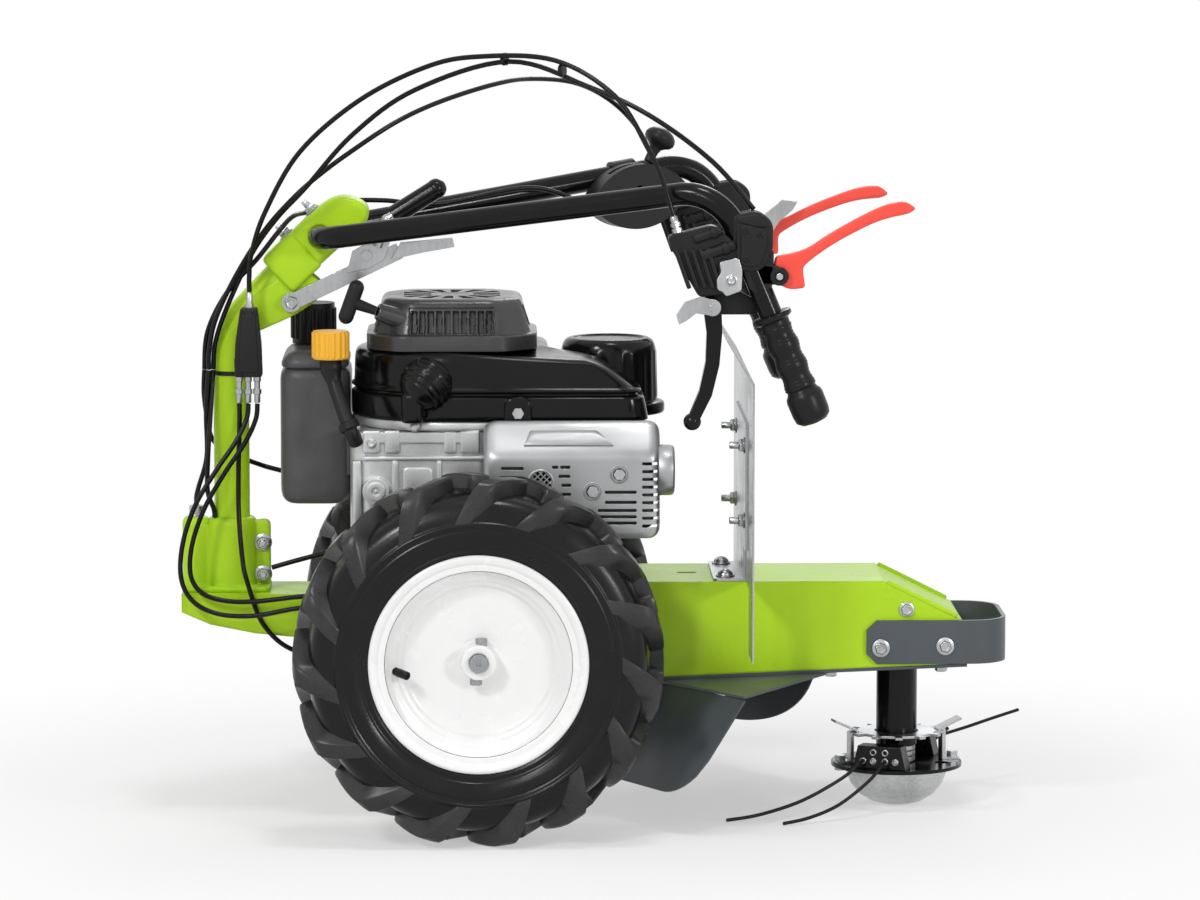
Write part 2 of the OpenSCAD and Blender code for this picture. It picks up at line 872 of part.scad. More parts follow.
module flywheel() {
  color([0.5, 0.5, 0.5])
    on_axle()
      translate([crank_x, 0, deck_dz])
        difference() {
          union() {
            translate([0, 0, 458])
              cylinder(r = 84, h = 16, $fn = 96);
            translate([0, 0, 452])
              cylinder(r = 24, h = 44);
            for (a = [0:24:336])
              rotate([0, 0, a])
                translate([46, -1.5, 473])
                  cube([34, 3, 26]);
          }
          translate([0, 0, 440])
            cylinder(r = crank_d / 2 + fit, h = 80);
        }
}

module pull_handle() {
  color([0.05, 0.05, 0.05])
    on_axle()
      translate([0, 0, deck_dz])
        translate(pull_at)
          rotate([0, pull_tilt, 0]) {
            translate([0, 0, -17])
              cylinder(d = 17, h = 34);
            for (z = [-17, 17])
              translate([0, 0, z])
                sphere(d = 17);
            rotate([0, 90, 0])
              cylinder(d1 = 14, d2 = 10, h = 29);
          }
}

// Belts

module belt_core(d, r1, r2, h) {
  s = asin((r1 - r2) / d);
  cylinder(r = r1, h = h, $fn = 96);
  translate([d, 0, 0])
    cylinder(r = r2, h = h, $fn = 96);
  linear_extrude(h)
    polygon([
      [r1 * sin(s), r1 * cos(s) - 0.15],
      [d + r2 * sin(s), r2 * cos(s) - 0.15],
      [d + r2 * sin(s), 0.15 - r2 * cos(s)],
      [r1 * sin(s), 0.15 - r1 * cos(s)]]);
}

module belt(d, r1, r2) {
  difference() {
    translate([0, 0, -belt_h / 2])
      belt_core(d, r1 + gap + belt_t, r2 + gap + belt_t, belt_h);
    translate([0, 0, -belt_h])
      belt_core(d, r1 + gap, r2 + gap, 2 * belt_h);
  }
}

module trimmer_belt() {
  color([0.06, 0.06, 0.06])
    on_axle()
      translate([crank_x, 0, belt_z + deck_dz])
        belt(spindle_x - crank_x, groove_r, spindle_groove_r);
}

module traction_belt() {
  color([0.06, 0.06, 0.06])
    on_axle()
      translate([crank_x, 0, belt2_z + deck_dz])
        rotate([0, 0, 180])
          belt(crank_x - input_x, groove_r, groove_r);
}

trimmer_arm = [40, 88];
trimmer_wheel = [92, 62];
traction_arm = [-22, -90];
traction_wheel = [-74, -64];

module idler(arm, wheel, z, r) {
  translate([wheel[0], wheel[1], z - 4.5])
    cylinder(r = r, h = 9);
  translate([arm[0], arm[1], z - 4.5])
    cylinder(d = 16, h = 9);
  v = [wheel[0] - arm[0], wheel[1] - arm[1]];
  translate([arm[0], arm[1], z - 4.5])
    rotate([0, 0, atan2(v[1], v[0])])
      translate([0, -6, 0])
        cube([norm(v), 12, 4]);
  translate([arm[0], arm[1], z])
    cylinder(r = 5, h = deck_z - z);
}

module trimmer_idler() {
  color([0.6, 0.61, 0.62])
    on_axle()
      idler(trimmer_arm, trimmer_wheel, belt_z + deck_dz, 17);
}

module traction_idler() {
  color([0.6, 0.61, 0.62])
    on_axle()
      idler(traction_arm, traction_wheel, belt2_z + deck_dz, 17);
}

module gearbox_pulley() {
  color([0.55, 0.56, 0.58])
    on_axle()
      translate([input_x, 0, 0]) {
        grooved_pulley(flange_r, groove_r, belt2_z + deck_dz);
        translate([0, 0, 192])
          cylinder(r = 8, h = 50 + deck_dz);
      }
}

// Wheels

module tyre() {
  w = tyre_w / 2;
  c = lug_base - bead_r;
  rotate([90, 0, 0]) {
    rotate_extrude($fn = 96)
      difference() {
        polygon([
          [bead_r + fit, -42], [rim_r + 1, -42.5], [bead_r + 0.42 * c, -w + 3], [bead_r + 0.62 * c, -w],
          [bead_r + 0.85 * c, -w + 3], [lug_base - 2, -w + 14], [lug_base + 1, -20], [lug_base + 2, 0],
          [lug_base + 1, 20], [lug_base - 2, w - 14], [bead_r + 0.85 * c, w - 3], [bead_r + 0.62 * c, w],
          [bead_r + 0.42 * c, w - 3], [rim_r + 1, 42.5], [bead_r + fit, 42]]);
        polygon([
          [bead_r - 5, -34], [rim_r - 3, -34], [bead_r + 0.45 * c, -w + 11], [bead_r + 0.8 * c, -w + 11],
          [lug_base - 9, -w + 24], [lug_base - 7, 0], [lug_base - 9, w - 24], [bead_r + 0.8 * c, w - 11],
          [bead_r + 0.45 * c, w - 11], [rim_r - 3, 34], [bead_r - 5, 34]]);
      }
    intersection() {
      rotate_extrude($fn = 96)
        polygon([
          [lug_base - 10, -w + 6], [lug_base + 4, -w + 1], [axle_z - 8, -w + 2], [axle_z, -w + 12],
          [axle_z, w - 12], [axle_z - 8, w - 2], [lug_base + 4, w - 1], [lug_base - 10, w - 6]]);
      for (i = [0:lug_count - 1]) {
        rotate([0, 0, i * 360 / lug_count])
          lug(1, w);
        rotate([0, 0, (i + 0.5) * 360 / lug_count])
          lug(-1, w);
      }
    }
  }
}

module lug(side, w) {
  translate([lug_base - 16, 0, 0])
    rotate([0, 90, 0])
      linear_extrude(50)
        polygon([[side * 9, -11], [side * 9, 9], [-side * 14, 12], [-side * (w + 2), 46],
          [-side * (w + 2), 26], [-side * 14, -10]]);
}

module tyres() {
  color([0.06, 0.06, 0.065])
    on_axle()
      both_sides()
        translate([0, -half_track, nominal_axle_z]) {
          rotate([0, 90, 0])
            tyre();
          translate([-82, -19.5, -17])
            rotate([90, 0, 0])
              cylinder(d = 9, h = 24);
        }
}

module rim() {
  rotate([90, 0, 0])
    rotate_extrude($fn = 96)
      polygon([
        [axle_d / 2 + fit, -hub_in], [hub_r, -hub_in], [hub_r, 3], [74, 3], [80, 15], [94, 15],
        [bead_r - 4, 26], [bead_r - 4, -46], [rim_r - 4, -46.5], [rim_r, -44.5], [rim_r - 2, -43],
        [bead_r, -42.5], [bead_r, 42.5], [rim_r - 2, 43], [rim_r, 44.5], [rim_r - 4, 46.5],
        [bead_r - 4, 46], [bead_r - 6, 31], [92, 19.5], [78, 19.5], [71, 7.5], [hub_r, 7.5],
        [hub_r, hub_out], [axle_d / 2 + fit, hub_out]]);
}

module rims() {
  color([0.9, 0.9, 0.88])
    on_axle()
      both_sides()
        translate([0, -half_track, nominal_axle_z])
          rim();
}

module axle() {
  color([0.6, 0.6, 0.62])
    on_axle() {
      difference() {
        along_y(0, nominal_axle_z, [-half_track - hub_out - 6, half_track + hub_out + 6], axle_d);
        both_sides()
          along_y(0, nominal_axle_z, [-half_track - hub_out - 9, -half_track - hub_out - 2], 6);
      }
      both_sides()
        for (s = [-1, 1])
          translate([s * 3, -half_track - 20, nominal_axle_z + s * hub_r])
            rotate([s > 0 ? 0 : 180, 0, 0])
              difference() {
                translate([0, 0, -2])
                  cylinder(d = 13, h = 10.4, $fn = 6);
                along_y(s > 0 ? -3 : 3, -hub_r, [-20, 20], 2 * hub_r + 0.5);
              }
    }
}

// Line head

module spindle_shaft() {
  color([0.6, 0.61, 0.63])
    on_floor()
      translate([spindle_x, 0, 0]) {
        translate([0, 0, 14])
          cylinder(d = shaft_d, h = 221 + lift + deck_dz);
        translate([0, 0, lift + deck_dz])
          grooved_pulley(spindle_flange_r, spindle_groove_r, belt_z);
        translate([0, 0, 48])
          cylinder(d = shaft_d + 18, h = 19);
      }
}

module cutter_disc() {
  color([0.5, 0.51, 0.53])
    on_floor()
      translate([spindle_x, 0, 0])
        difference() {
          translate([0, 0, 44])
            cylinder(d = disc_d, h = 4, $fn = 96);
          translate([0, 0, 40])
            cylinder(r = shaft_d / 2 + fit, h = 20);
          for (a = [75, 165, 255, 345])
            rotate([0, 0, a])
              translate([disc_d / 2 - 22, 0, 40])
                cylinder(d = 16, h = 20);
        }
}

module tooth_ring() {
  color([0.7, 0.71, 0.73])
    on_floor()
      translate([spindle_x, 0, 0]) {
        difference() {
          translate([0, 0, 80]) {
            cylinder(r = 44, h = 3);
            for (a = [0:30:330])
              rotate([0, 0, a])
                translate([40, -5, 0])
                  cube([14, 8, 3]);
          }
          translate([0, 0, 60])
            cylinder(r = spindle_d / 2 + 2, h = 60);
        }
        for (a = [12, 192])
          rotate([0, 0, a]) {
            translate([52, -8, 48])
              cube([4, 16, 35]);
            translate([44, -8, 80])
              cube([12, 16, 3]);
            translate([52, -8, 48])
              cube([bolt_r - 46, 16, 3]);
            translate([46, -14, 82.5])
              rotate([0, -24, 0])
                cube([30, 18, 2.5]);
          }
      }
}

module line_holders() {
  color([0.06, 0.06, 0.06])
    on_floor()
      translate([spindle_x, 0, 0])
        for (a = [-112, 68])
          rotate([0, 0, a])
            translate([44, 0, 48])
              difference() {
                rotate([90, 0, 90])
                  linear_extrude(20)
                    polygon([[-31, 0], [31, 0], [25, 26], [-25, 26]]);
                for (y = [-19, -7, 7, 19])
                  translate([-5, y, 9])
                    rotate([0, 90, 0])
                      cylinder(d = line_d + 2 * fit, h = 40);
              }
}

module head_bolts() {
  color([0.76, 0.77, 0.78])
    on_floor()
      translate([spindle_x, 0, 0])
        for (a = [12, 192])
          rotate([0, 0, a])
            translate([bolt_r, 0, 51]) {
              cylinder(d = 13, h = 6, $fn = 6);
              translate([0, 0, -11])
                cylinder(d = 13, h = 4, $fn = 6);
            }
}

module skid_dome() {
  color([0.76, 0.77, 0.79])
    on_floor()
      translate([spindle_x, 0, 0])
        rotate_extrude($fn = 96)
          polygon([
            [0, 0], [16, 0], [dome_d * 0.26, 4], [dome_d * 0.37, 12], [dome_d * 0.45, 24],
            [dome_d * 0.49, 36], [dome_d / 2, 43], [dome_d / 2 - 4, 43], [dome_d * 0.455, 36],
            [dome_d * 0.415, 26], [dome_d * 0.34, 16], [dome_d * 0.25, 9], [20, 7], [20, 42],
            [shaft_d / 2 + fit, 42], [shaft_d / 2 + fit, 13], [0, 13]]);
}

// Trimmer line: route points around the spindle, near pair then far pair
LINES = [
  [[-41.7, -52.5, 57], [-46, -63, 56], [-66, -78, 42], [-112, -97, 20], [-160, -112, 7], [-198, -124, 3]],
  [[-17.6, -62.2, 57], [-22, -73, 55], [-38, -91, 40], [-72, -113, 18], [-106, -132, 7], [-136, -146, 3]],
  [[17.6, 62.2, 57], [23, 75, 57], [52, 93, 60], [86, 113, 66], [120, 136, 73], [154, 162, 79]],
  [[41.7, 52.5, 57], [46, 64, 58], [54, 76, 63], [66, 88, 70]]];

module trimmer_lines() {
  color([0.05, 0.05, 0.05])
    on_floor()
      translate([spindle_x, 0, 0])
        for (p = LINES)
          cable(p, line_d, 2);
}

// Column

block_axis = [cos(block_tilt), 0, sin(block_tilt)];

module in_block() {
  translate(pivot)
    rotate([0, -block_tilt, 0])
      children();
}

module column() {
  color([0.52, 0.72, 0.05])
    on_axle()
      difference() {
        union() {
          bent_tube(COLUMN, COLUMN_BENDS, column_d);
          in_block() {
            rounded_face([-66, 40], [-block_r, block_r], [-block_half, block_half], 6);
            along_y(34, 0, [-block_half, block_half], 2 * block_r);
          }
          for (y = [[-21, -16], [16, 21]])
            profile_y([[-266, 528], [-268, 560], [-240, 590], [-196, 612], [-172, 592], [-176, 578], [-200, 560]], y);
        }
        bent_tube(COLUMN, COLUMN_BENDS, column_d - 2 * column_t);
        along_y(pivot[0], pivot[2], [-60, 60], bar_d + 2 * fit);
        along_y(lever_pivot[0], lever_pivot[1], [-60, 60], 8 + 2 * fit);
      }
}

module column_bolts() {
  color([0.77, 0.78, 0.79])
    on_axle() {
      in_block()
        for (x = [-28, 12])
          translate([x, 0, block_r])
            cylinder(d = 15, h = 7, $fn = 6);
      in_block()
        for (x = [-28, 12])
          translate([x, 0, block_r + 7])
            cylinder(d = 8, h = 8);
      along_y(lever_pivot[0], lever_pivot[1], [-30, 30], 8);
      for (y = [[-36, -30], [24, 30]])
        translate([lever_pivot[0], y[1], lever_pivot[1]])
          rotate([90, 0, 0])
            cylinder(d = 15, h = y[1] - y[0], $fn = 6);
      translate([column_x, 0, 490])
        difference() {
          cylinder(d = column_d + 3, h = 5);
          translate([0, 0, -1])
            cylinder(d = column_d, h = 7);
        }
    }
}

module cable_splitter() {
  color([0.06, 0.06, 0.06])
    on_axle() {
      profile_y([[-271, 492], [-240, 492], [-240, 540], [-246, 569], [-263, 569], [-271, 545]], [-56, -32]);
      difference() {
        block([-272, -262], [-33, -8], [500, 511]);
        translate([column_x, 0, 490])
          cylinder(d = column_d, h = 40);
      }
      for (x = [-266, -256, -246])
        rod([x, -44, 492.5], [x, -44, 462], 7);
      rod([-254, -44, 568.5], [-254, -44, 586], 8);
    }
}

module lock_pin() {
  color([0.8, 0.81, 0.82])
    on_axle()
      translate([pin_x, 0, tail_top + 13])
        cylinder(d = pin_d, h = base_top + deck_dz - tail_top - 14 - pin_lift);
}

module in_lever() {
  translate([lever_pivot[0], 0, lever_pivot[1]])
    rotate([0, -lever_tilt, 0])
      children();
}

module height_lever() {
  color([0.76, 0.77, 0.78])
    on_axle()
      difference() {
        union() {
          in_lever() {
            block([0, 134], [-27, -21.3], [-9, 9]);
            along_y(0, 0, [-27, -21.3], 22);
          }
          profile_y([[-146, 606], [-140, 630], [-112, 646], [-98, 640], [-104, 622], [-120, 612]], [-32, -21.3]);
          profile_y([[-96, 622], [-86, 640], [-28, 645], [-26, 636], [-60, 630]], [-42, -21.3]);
          rod([-112, -34, 636], [-101, -34, 666], 11);
          rod([-101, -34, 666], [-60, -34, 691.6], 11);
          translate([-101, -34, 666])
            sphere(d = 12.4);
          along_y(-124, 626, [-37, -30], 12);
        }
        along_y(lever_pivot[0], lever_pivot[1], [-60, 60], 8 + 2 * fit);
      }
}

module height_grip() {
  color([0.05, 0.05, 0.05])
    on_axle()
      difference() {
        union() {
          rod([-94.2, -34, 670.2], [-46, -34, 700.3], 22);
          translate([-46, -34, 700.3])
            sphere(d = 23);
        }
        rod([-101, -34, 666], [-60, -34, 691.6], 11 + 2 * fit);
      }
}

// Handlebar

module bar_space(d) {
  bent_tube(BAR, BAR_BENDS, d);
}

module handlebar() {
  color([0.05, 0.05, 0.05])
    on_axle()
      difference() {
        bent_tube(BAR, BAR_BENDS, bar_d);
        bent_tube(BAR, BAR_BENDS, bar_d - 2 * bar_t);
      }
}

module on_grip() {
  translate([bar_knee[0], -grip_half, bar_knee[2]])
    rotate([0, 90 + grip_angle, 0])
      children();
}

module grips() {
  color([0.06, 0.06, 0.06])
    on_axle()
      both_sides()
        on_grip()
          rotate_extrude()
            polygon([
              [bar_d / 2 + fit, grip_start], [grip_d / 2 + 5, grip_start], [grip_d / 2 + 5, grip_start + 6],
              [grip_d / 2 - 1, grip_start + 9], [grip_d / 2, grip_start + 22], [grip_d / 2 - 2, grip_start + 32],
              [grip_d / 2 + 1, grip_start + 42], [grip_d / 2 - 2, grip_start + 52],
              [grip_d / 2 + 1, grip_start + 62], [grip_d / 2 - 2, grip_start + 72],
              [grip_d / 2, grip_start + 82], [grip_d / 2 - 1.5, grip_start + 87],
              [grip_d / 2 + 3.5, grip_start + 95], [grip_d / 2 + 3, grip_len + 4], [8, grip_len + 10],
              [0, grip_len + 10], [0, grip_len + 0.2], [bar_d / 2 + fit, grip_len + 0.2]]);
}

module side_boxes(near) {
  y = -grip_half;
  difference() {
    union() {
      profile_y([[207, 652], [204, 664], [226, 669.7], [254, 677], [284, 650], [284, 606], [238, 598], [224, 622]],
        [y - 13, y + 13]);
      for (x = [217, 226, 235, 244])
        profile_y([[x, 647], [x + 5, 649], [x + 19, 603], [x + 14, 601]], [y - 16, y + 16]);
      rounded_face([258, 282], [606, 640], [y - 16, y + 12], 4);
      rod([236, y - 12, 663], [262, y - 12, 672], 9);
      rod([246, y - 12, 646], [276, y - 12, 656], 10);
      rounded_face([276, 316], [628, 690], [y - 16, y + 16], 8);
      profile_y([[280, 634], [318, 650], [318, 612], [306, 600], [292, 606]], [y - 11, y + 11]);
      along_y(red_pivot[0], red_pivot[1], [y + 7.4, y + 14], 20);
      along_y(red_pivot[0], red_pivot[1], [y - 14, y - 7.4], 20);
      block([300, red_pivot[0]], [y + 7.4, y + 14], [612, 634]);
      block([300, red_pivot[0]], [y - 14, y - 7.4], [612, 634]);
      if (near)
        profile_y([[244, 606], [270, 610], [304, 592], [300, 578], [286, 578], [262, 578], [246, 580]], [y + 8.4, y + 16]);
    }
    bar_space(bar_d + 2 * fit);
    along_y(red_pivot[0], red_pivot[1], [y - 30, y + 30], 8 + 2 * fit);
    translate([red_pivot[0], y, red_pivot[1]])
      rotate([90, 0, 0])
        cylinder(r = 40, h = 14.8, center = true);
    block([240, 268], [y - 8.4, y + 8.4], [570, 606]);
    along_y(hand_pivot[0], hand_pivot[1], [y - 30, y + 30], 8 + 2 * fit);
  }
}

module control_boxes() {
  color([0.05, 0.05, 0.055])
    on_axle() {
      side_boxes(true);
      mirror([0, 1, 0])
        side_boxes(false);
    }
}

module control_hardware() {
  color([0.77, 0.78, 0.79])
    on_axle() {
      y = -grip_half;
      both_sides()
        rod([214.96, y - 5, 667], [210.2, y - 5, 685.4], 8);
      rounded_face([257, 283], [604, 641], [y - 19.5, y - 16.3], 4);
      along_y(268, 622, [y - 25, y - 19.5], 11);
      both_sides()
        along_y(red_pivot[0], red_pivot[1], [y - 17, y + 17], 8);
      along_y(red_pivot[0], red_pivot[1], [grip_half - 22, grip_half - 16], 8);
    }
}

module hand_lever() {
  color([0.05, 0.05, 0.05])
    on_axle()
      difference() {
        y = -grip_half;
        union() {
          along_y(hand_pivot[0], hand_pivot[1], [y - 8, y + 8], 20);
          profile_y([[242, 590], [262, 590], [263, 560], [260, 525], [252, 492], [237, 462], [226, 466],
            [238, 496], [245, 528], [246, 560]], [y - 8, y + 8]);
          translate([231, y, 463])
            sphere(r = 9.5);
        }
        along_y(hand_pivot[0], hand_pivot[1], [y - 30, y + 30], 8 + 2 * fit);
      }
}

module pawl() {
  color([0.75, 0.76, 0.77])
    on_axle() {
      y = -grip_half;
      along_y(hand_pivot[0], hand_pivot[1], [y - 20, y - 16.4], 18);
      profile_y([[254, 596], [240, 600], [222, 594], [213, 580], [216, 570], [224, 574], [234, 582], [248, 580]],
        [y - 20, y - 16.4]);
      along_y(hand_pivot[0], hand_pivot[1], [y - 22, y + 17], 8);
    }
}

module red_lever(turn) {
  y = -grip_half;
  translate([red_pivot[0], 0, red_pivot[1]])
    rotate([0, turn, 0])
      difference() {
        union() {
          along_y(0, 0, [y - 7, y + 7], 19);
          profile_y([[-6, 7], [-4, 21], [27.5, 26.7], [49.6, 42.2], [76.4, 57.8], [112, 76], [134.4, 80.8],
            [148.6, 71.1], [138.8, 68], [107.7, 60], [72, 42.2], [49.8, 28.8], [32, 15.4], [25.2, 8.8],
            [28.4, -13], [12, -15], [-6, -7]], [y - 7, y + 7]);
        }
        along_y(0, 0, [y - 30, y + 30], 8 + 2 * fit);
      }
}

module red_lever_near() {
  color([0.85, 0.1, 0.06])
    on_axle()
      red_lever(0);
}

module red_lever_far() {
  color([0.85, 0.1, 0.06])
    on_axle()
      mirror([0, 1, 0])
        red_lever(7);
}

// Throttle box on the far arm

arm_u = unit(arm_dir);
arm_v = unit([-arm_u[1], arm_u[0], 0]);
arm_w = cross(arm_u, arm_v);

module on_arm() {
  basis([pivot[0], elbow_y, pivot[2]] + arm_u * throttle_reach, arm_u, arm_v, arm_w)
    children();
}

module lens(r, dz, y) {
  translate([0, y[1], -23])
    rotate([90, 0, 0])
      linear_extrude(y[1] - y[0])
        intersection() {
          translate([0, -dz])
            circle(r = r, $fn = 96);
          translate([0, dz])
            circle(r = r, $fn = 96);
        }
}

module throttle_box() {
  color([0.05, 0.05, 0.055])
    on_axle()
      difference() {
        union() {
          on_arm()
            lens(70.4, 33.4, [-46, -14]);
          on_arm()
            rotate([0, 90, 0])
              translate([0, 0, -14])
                cylinder(d = bar_d + 9, h = 28);
        }
        bar_space(bar_d + 2 * fit);
        on_arm()
          lens(67.4, 33.4, [-43, -17]);
        on_arm()
          block([-30, 34], [-34, -26], [0, 40]);
        on_arm()
          along_y(0, -14, [-60, -10], 8 + 2 * fit);
      }
}

module throttle_lever() {
  color([0.05, 0.05, 0.05])
    on_axle()
      on_arm() {
        along_y(0, -14, [-47, -15], 8);
        along_y(0, -14, [-34, -26], 18);
        rod([0, -30, -14], [41, -30, 39], 7);
        translate([44, -30, 43])
          sphere(d = 30);
        rod([25, -30, 18.4], [36, -30, 32.6], 12);
      }
}

module shift_lever() {
  color([0.75, 0.76, 0.77])
    on_axle() {
      y = grip_half;
      translate([red_pivot[0], 0, red_pivot[1]])
        difference() {
          union() {
            along_y(0, 0, [y - 21, y - 17.4], 18);
            profile_y([[-6, 6], [8, 30], [30, 48], [48, 46], [42, 36], [26, 22], [9, -4]], [y - 21, y - 17.4]);
          }
          along_y(0, 0, [y - 40, y], 8 + 2 * fit);
        }
    }
}

// Cable routes: x, y, z of hand-laid points
UPPER = [
  [[210.1, -255, 685.8], [200, -252, 720], [184, -246, 756], [148, -229, 813], [84, -196, 850], [0, -150, 852],
   [-58, -125, 839], [-131, -95, 801], [-196, -72, 744], [-236, -54, 676], [-264, -40, 612], [-284, -27, 545],
   [-284, -25, 498]],
  [[297, -250, 692.2], [253, -248, 743], [186, -236, 792], [120, -206, 822], [35, -176, 843], [-68, -120, 816],
   [-137, -92, 764], [-190, -72, 704], [-221, -58, 671], [-243, -44, 634], [-254, -31, 602], [-262, -29, 566],
   [-275, -26, 524], [-275, -26, 498]],
  [[210.1, 255, 685.8], [203, 251, 718], [182, 240, 757], [150, 215, 788], [110, 180, 808], [60, 120, 815],
   [20, 60, 812], [-40, 0, 796], [-90, -40, 775], [-142, -58, 742], [-177, -56, 716], [-200, -48, 694],
   [-224, -38, 668], [-258, -26, 612], [-276, -24, 580], [-292, -22, 540], [-294, -21, 498]],
  [[124.2, 162.1, 668.9], [60, 136, 690], [-44, 104, 674], [-106, 74, 680], [-150, 56, 680], [-190, 36, 670],
   [-207, 0, 667], [-222, -30, 650], [-234, -46, 628], [-244, -50, 612], [-254, -44, 598], [-254, -44, 586.4]]];

LOWER = [
  [[-284, -25, 496], [-292, -27, 450], [-304, -22, 400], [-314, -8, 364], [-317, 0, 352], [-317, 0, 342.6]],
  [[-246, -44, 461.6], [-248, -44, 444], [-260, -46, 418], [-283, -50, 384], [-305, -55, 346], [-319, -60, 306],
   [-321, -63, 272], [-309, -65, 252], [-284, -66, 243], [-250, -67, 242], [-205, -69, 247], [-165.4, -70, 250]],
  [[-256, -44, 461.6], [-258, -46, 445], [-270, -52, 420], [-292, -58, 388], [-315, -64, 350], [-329, -70, 308],
   [-331, -74, 270], [-318, -77, 244], [-290, -79, 230], [-250, -81, 228], [-205, -83, 236], [-165.4, -84, 240]],
  [[-266, -44, 461.6], [-266, -42, 446], [-267, -35, 420], [-268, -34, 390], [-268, -38, 340], [-264, -50, 290],
   [-258, -57, 262], [-240, -58, 214], [-204, -54, 184], [-146.4, -46, 180]],
  [[-294, -21, 496], [-300, -16, 470], [-304, 0, 440], [-298, 22, 412], [-272, 34, 394], [-244, 26, 384],
   [-222.5, 18, 379]],
  [[-275, -26, 496], [-282, -33, 450], [-296, -36, 400], [-303, -28, 362], [-297, -15, 340], [-296, -14, 330.3]],
  [[-232.9, 0, 271], [-205, 0, 279], [-171, 0, 288], [-143.3, 0, 297]]];

module upper_cables() {
  color([0.04, 0.04, 0.04])
    on_axle()
      for (p = UPPER)
        cable(p, cable_d, 2);
}

module lower_cables() {
  color([0.04, 0.04, 0.04])
    on_axle()
      for (p = LOWER)
        cable(p, cable_d, 2);
}

main_frame();
belly_plate();
deflector();
bumper();
guard_plate();
guard_bracket();
frame_bolts();
column_base();
gearbox();
spindle_tube();
spindle_bearings();
crankcase();
cowl();
recoil_cover();
fuel_tank();
fuel_cap();
oil_tube();
oil_cap();
muffler();
muffler_shield();
air_filter();
engine_bolts();
crankshaft();
flywheel();
pull_handle();
trimmer_belt();
traction_belt();
trimmer_idler();
traction_idler();
gearbox_pulley();
tyres();
rims();
axle();
spindle_shaft();
cutter_disc();
tooth_ring();
line_holders();
head_bolts();
skid_dome();
trimmer_lines();
column();
column_bolts();
cable_splitter();
lock_pin();
height_lever();
height_grip();
handlebar();
grips();
control_boxes();
control_hardware();
hand_lever();
pawl();
red_lever_near();
red_lever_far();
throttle_box();
throttle_lever();
shift_lever();
upper_cables();
lower_cables();
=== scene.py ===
"""Looks of the wheeled string trimmer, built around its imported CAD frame."""

import logging
import math
from dataclasses import dataclass, field
from enum import Enum
from typing import Any, Dict, List, Optional, Sequence, Tuple

import bmesh
import bpy
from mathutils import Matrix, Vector


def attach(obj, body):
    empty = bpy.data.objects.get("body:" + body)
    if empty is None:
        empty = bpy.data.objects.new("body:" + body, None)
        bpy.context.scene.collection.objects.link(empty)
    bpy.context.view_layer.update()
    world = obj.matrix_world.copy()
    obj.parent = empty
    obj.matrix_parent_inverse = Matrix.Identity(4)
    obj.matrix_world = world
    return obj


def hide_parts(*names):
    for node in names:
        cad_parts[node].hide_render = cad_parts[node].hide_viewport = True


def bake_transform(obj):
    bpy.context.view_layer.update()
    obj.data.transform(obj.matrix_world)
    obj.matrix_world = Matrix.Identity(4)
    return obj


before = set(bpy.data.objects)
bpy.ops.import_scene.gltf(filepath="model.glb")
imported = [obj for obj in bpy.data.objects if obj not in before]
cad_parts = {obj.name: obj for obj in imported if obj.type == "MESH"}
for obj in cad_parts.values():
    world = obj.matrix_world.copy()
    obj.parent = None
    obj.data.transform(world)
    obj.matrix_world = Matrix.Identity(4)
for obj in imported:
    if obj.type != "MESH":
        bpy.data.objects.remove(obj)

LOG = logging.getLogger("string_trimmer")
Point = Tuple[float, float, float]
Corner = Tuple[float, float, float]
Pair = Tuple[float, float]
Socket = bpy.types.NodeSocket
Outline = Tuple[Corner, ...]
Profile = Tuple[Pair, ...]
Rows = Tuple[Tuple[float, ...], ...]

MM = 1000  # millimetres per metre
AXLE_X = -0.1285
AXLE_Z = 0.202
SIDES = (-1.0, 1.0)  # near and far
UP, DOWN = (0, 0, 1), (0, 0, -1)
NEAR, FAR = (0, -1, 0), (0, 1, 0)
FRONT, REAR = (1, 0, 0), (-1, 0, 0)
CRANK_X = -29  # millimetres from the axle line, like all that follow
COLUMN_X = -277
POST_X = -317
GRIP_Y = 250
LEVER_X, LEVER_Z = 324, 621  # pivot of the red levers


def at(x: float, y: float, z: float) -> Point:
    """Turn millimetres counted from the axle line into metres of the row frame."""
    return (x / MM + AXLE_X, y / MM, z / MM)


# Finishes


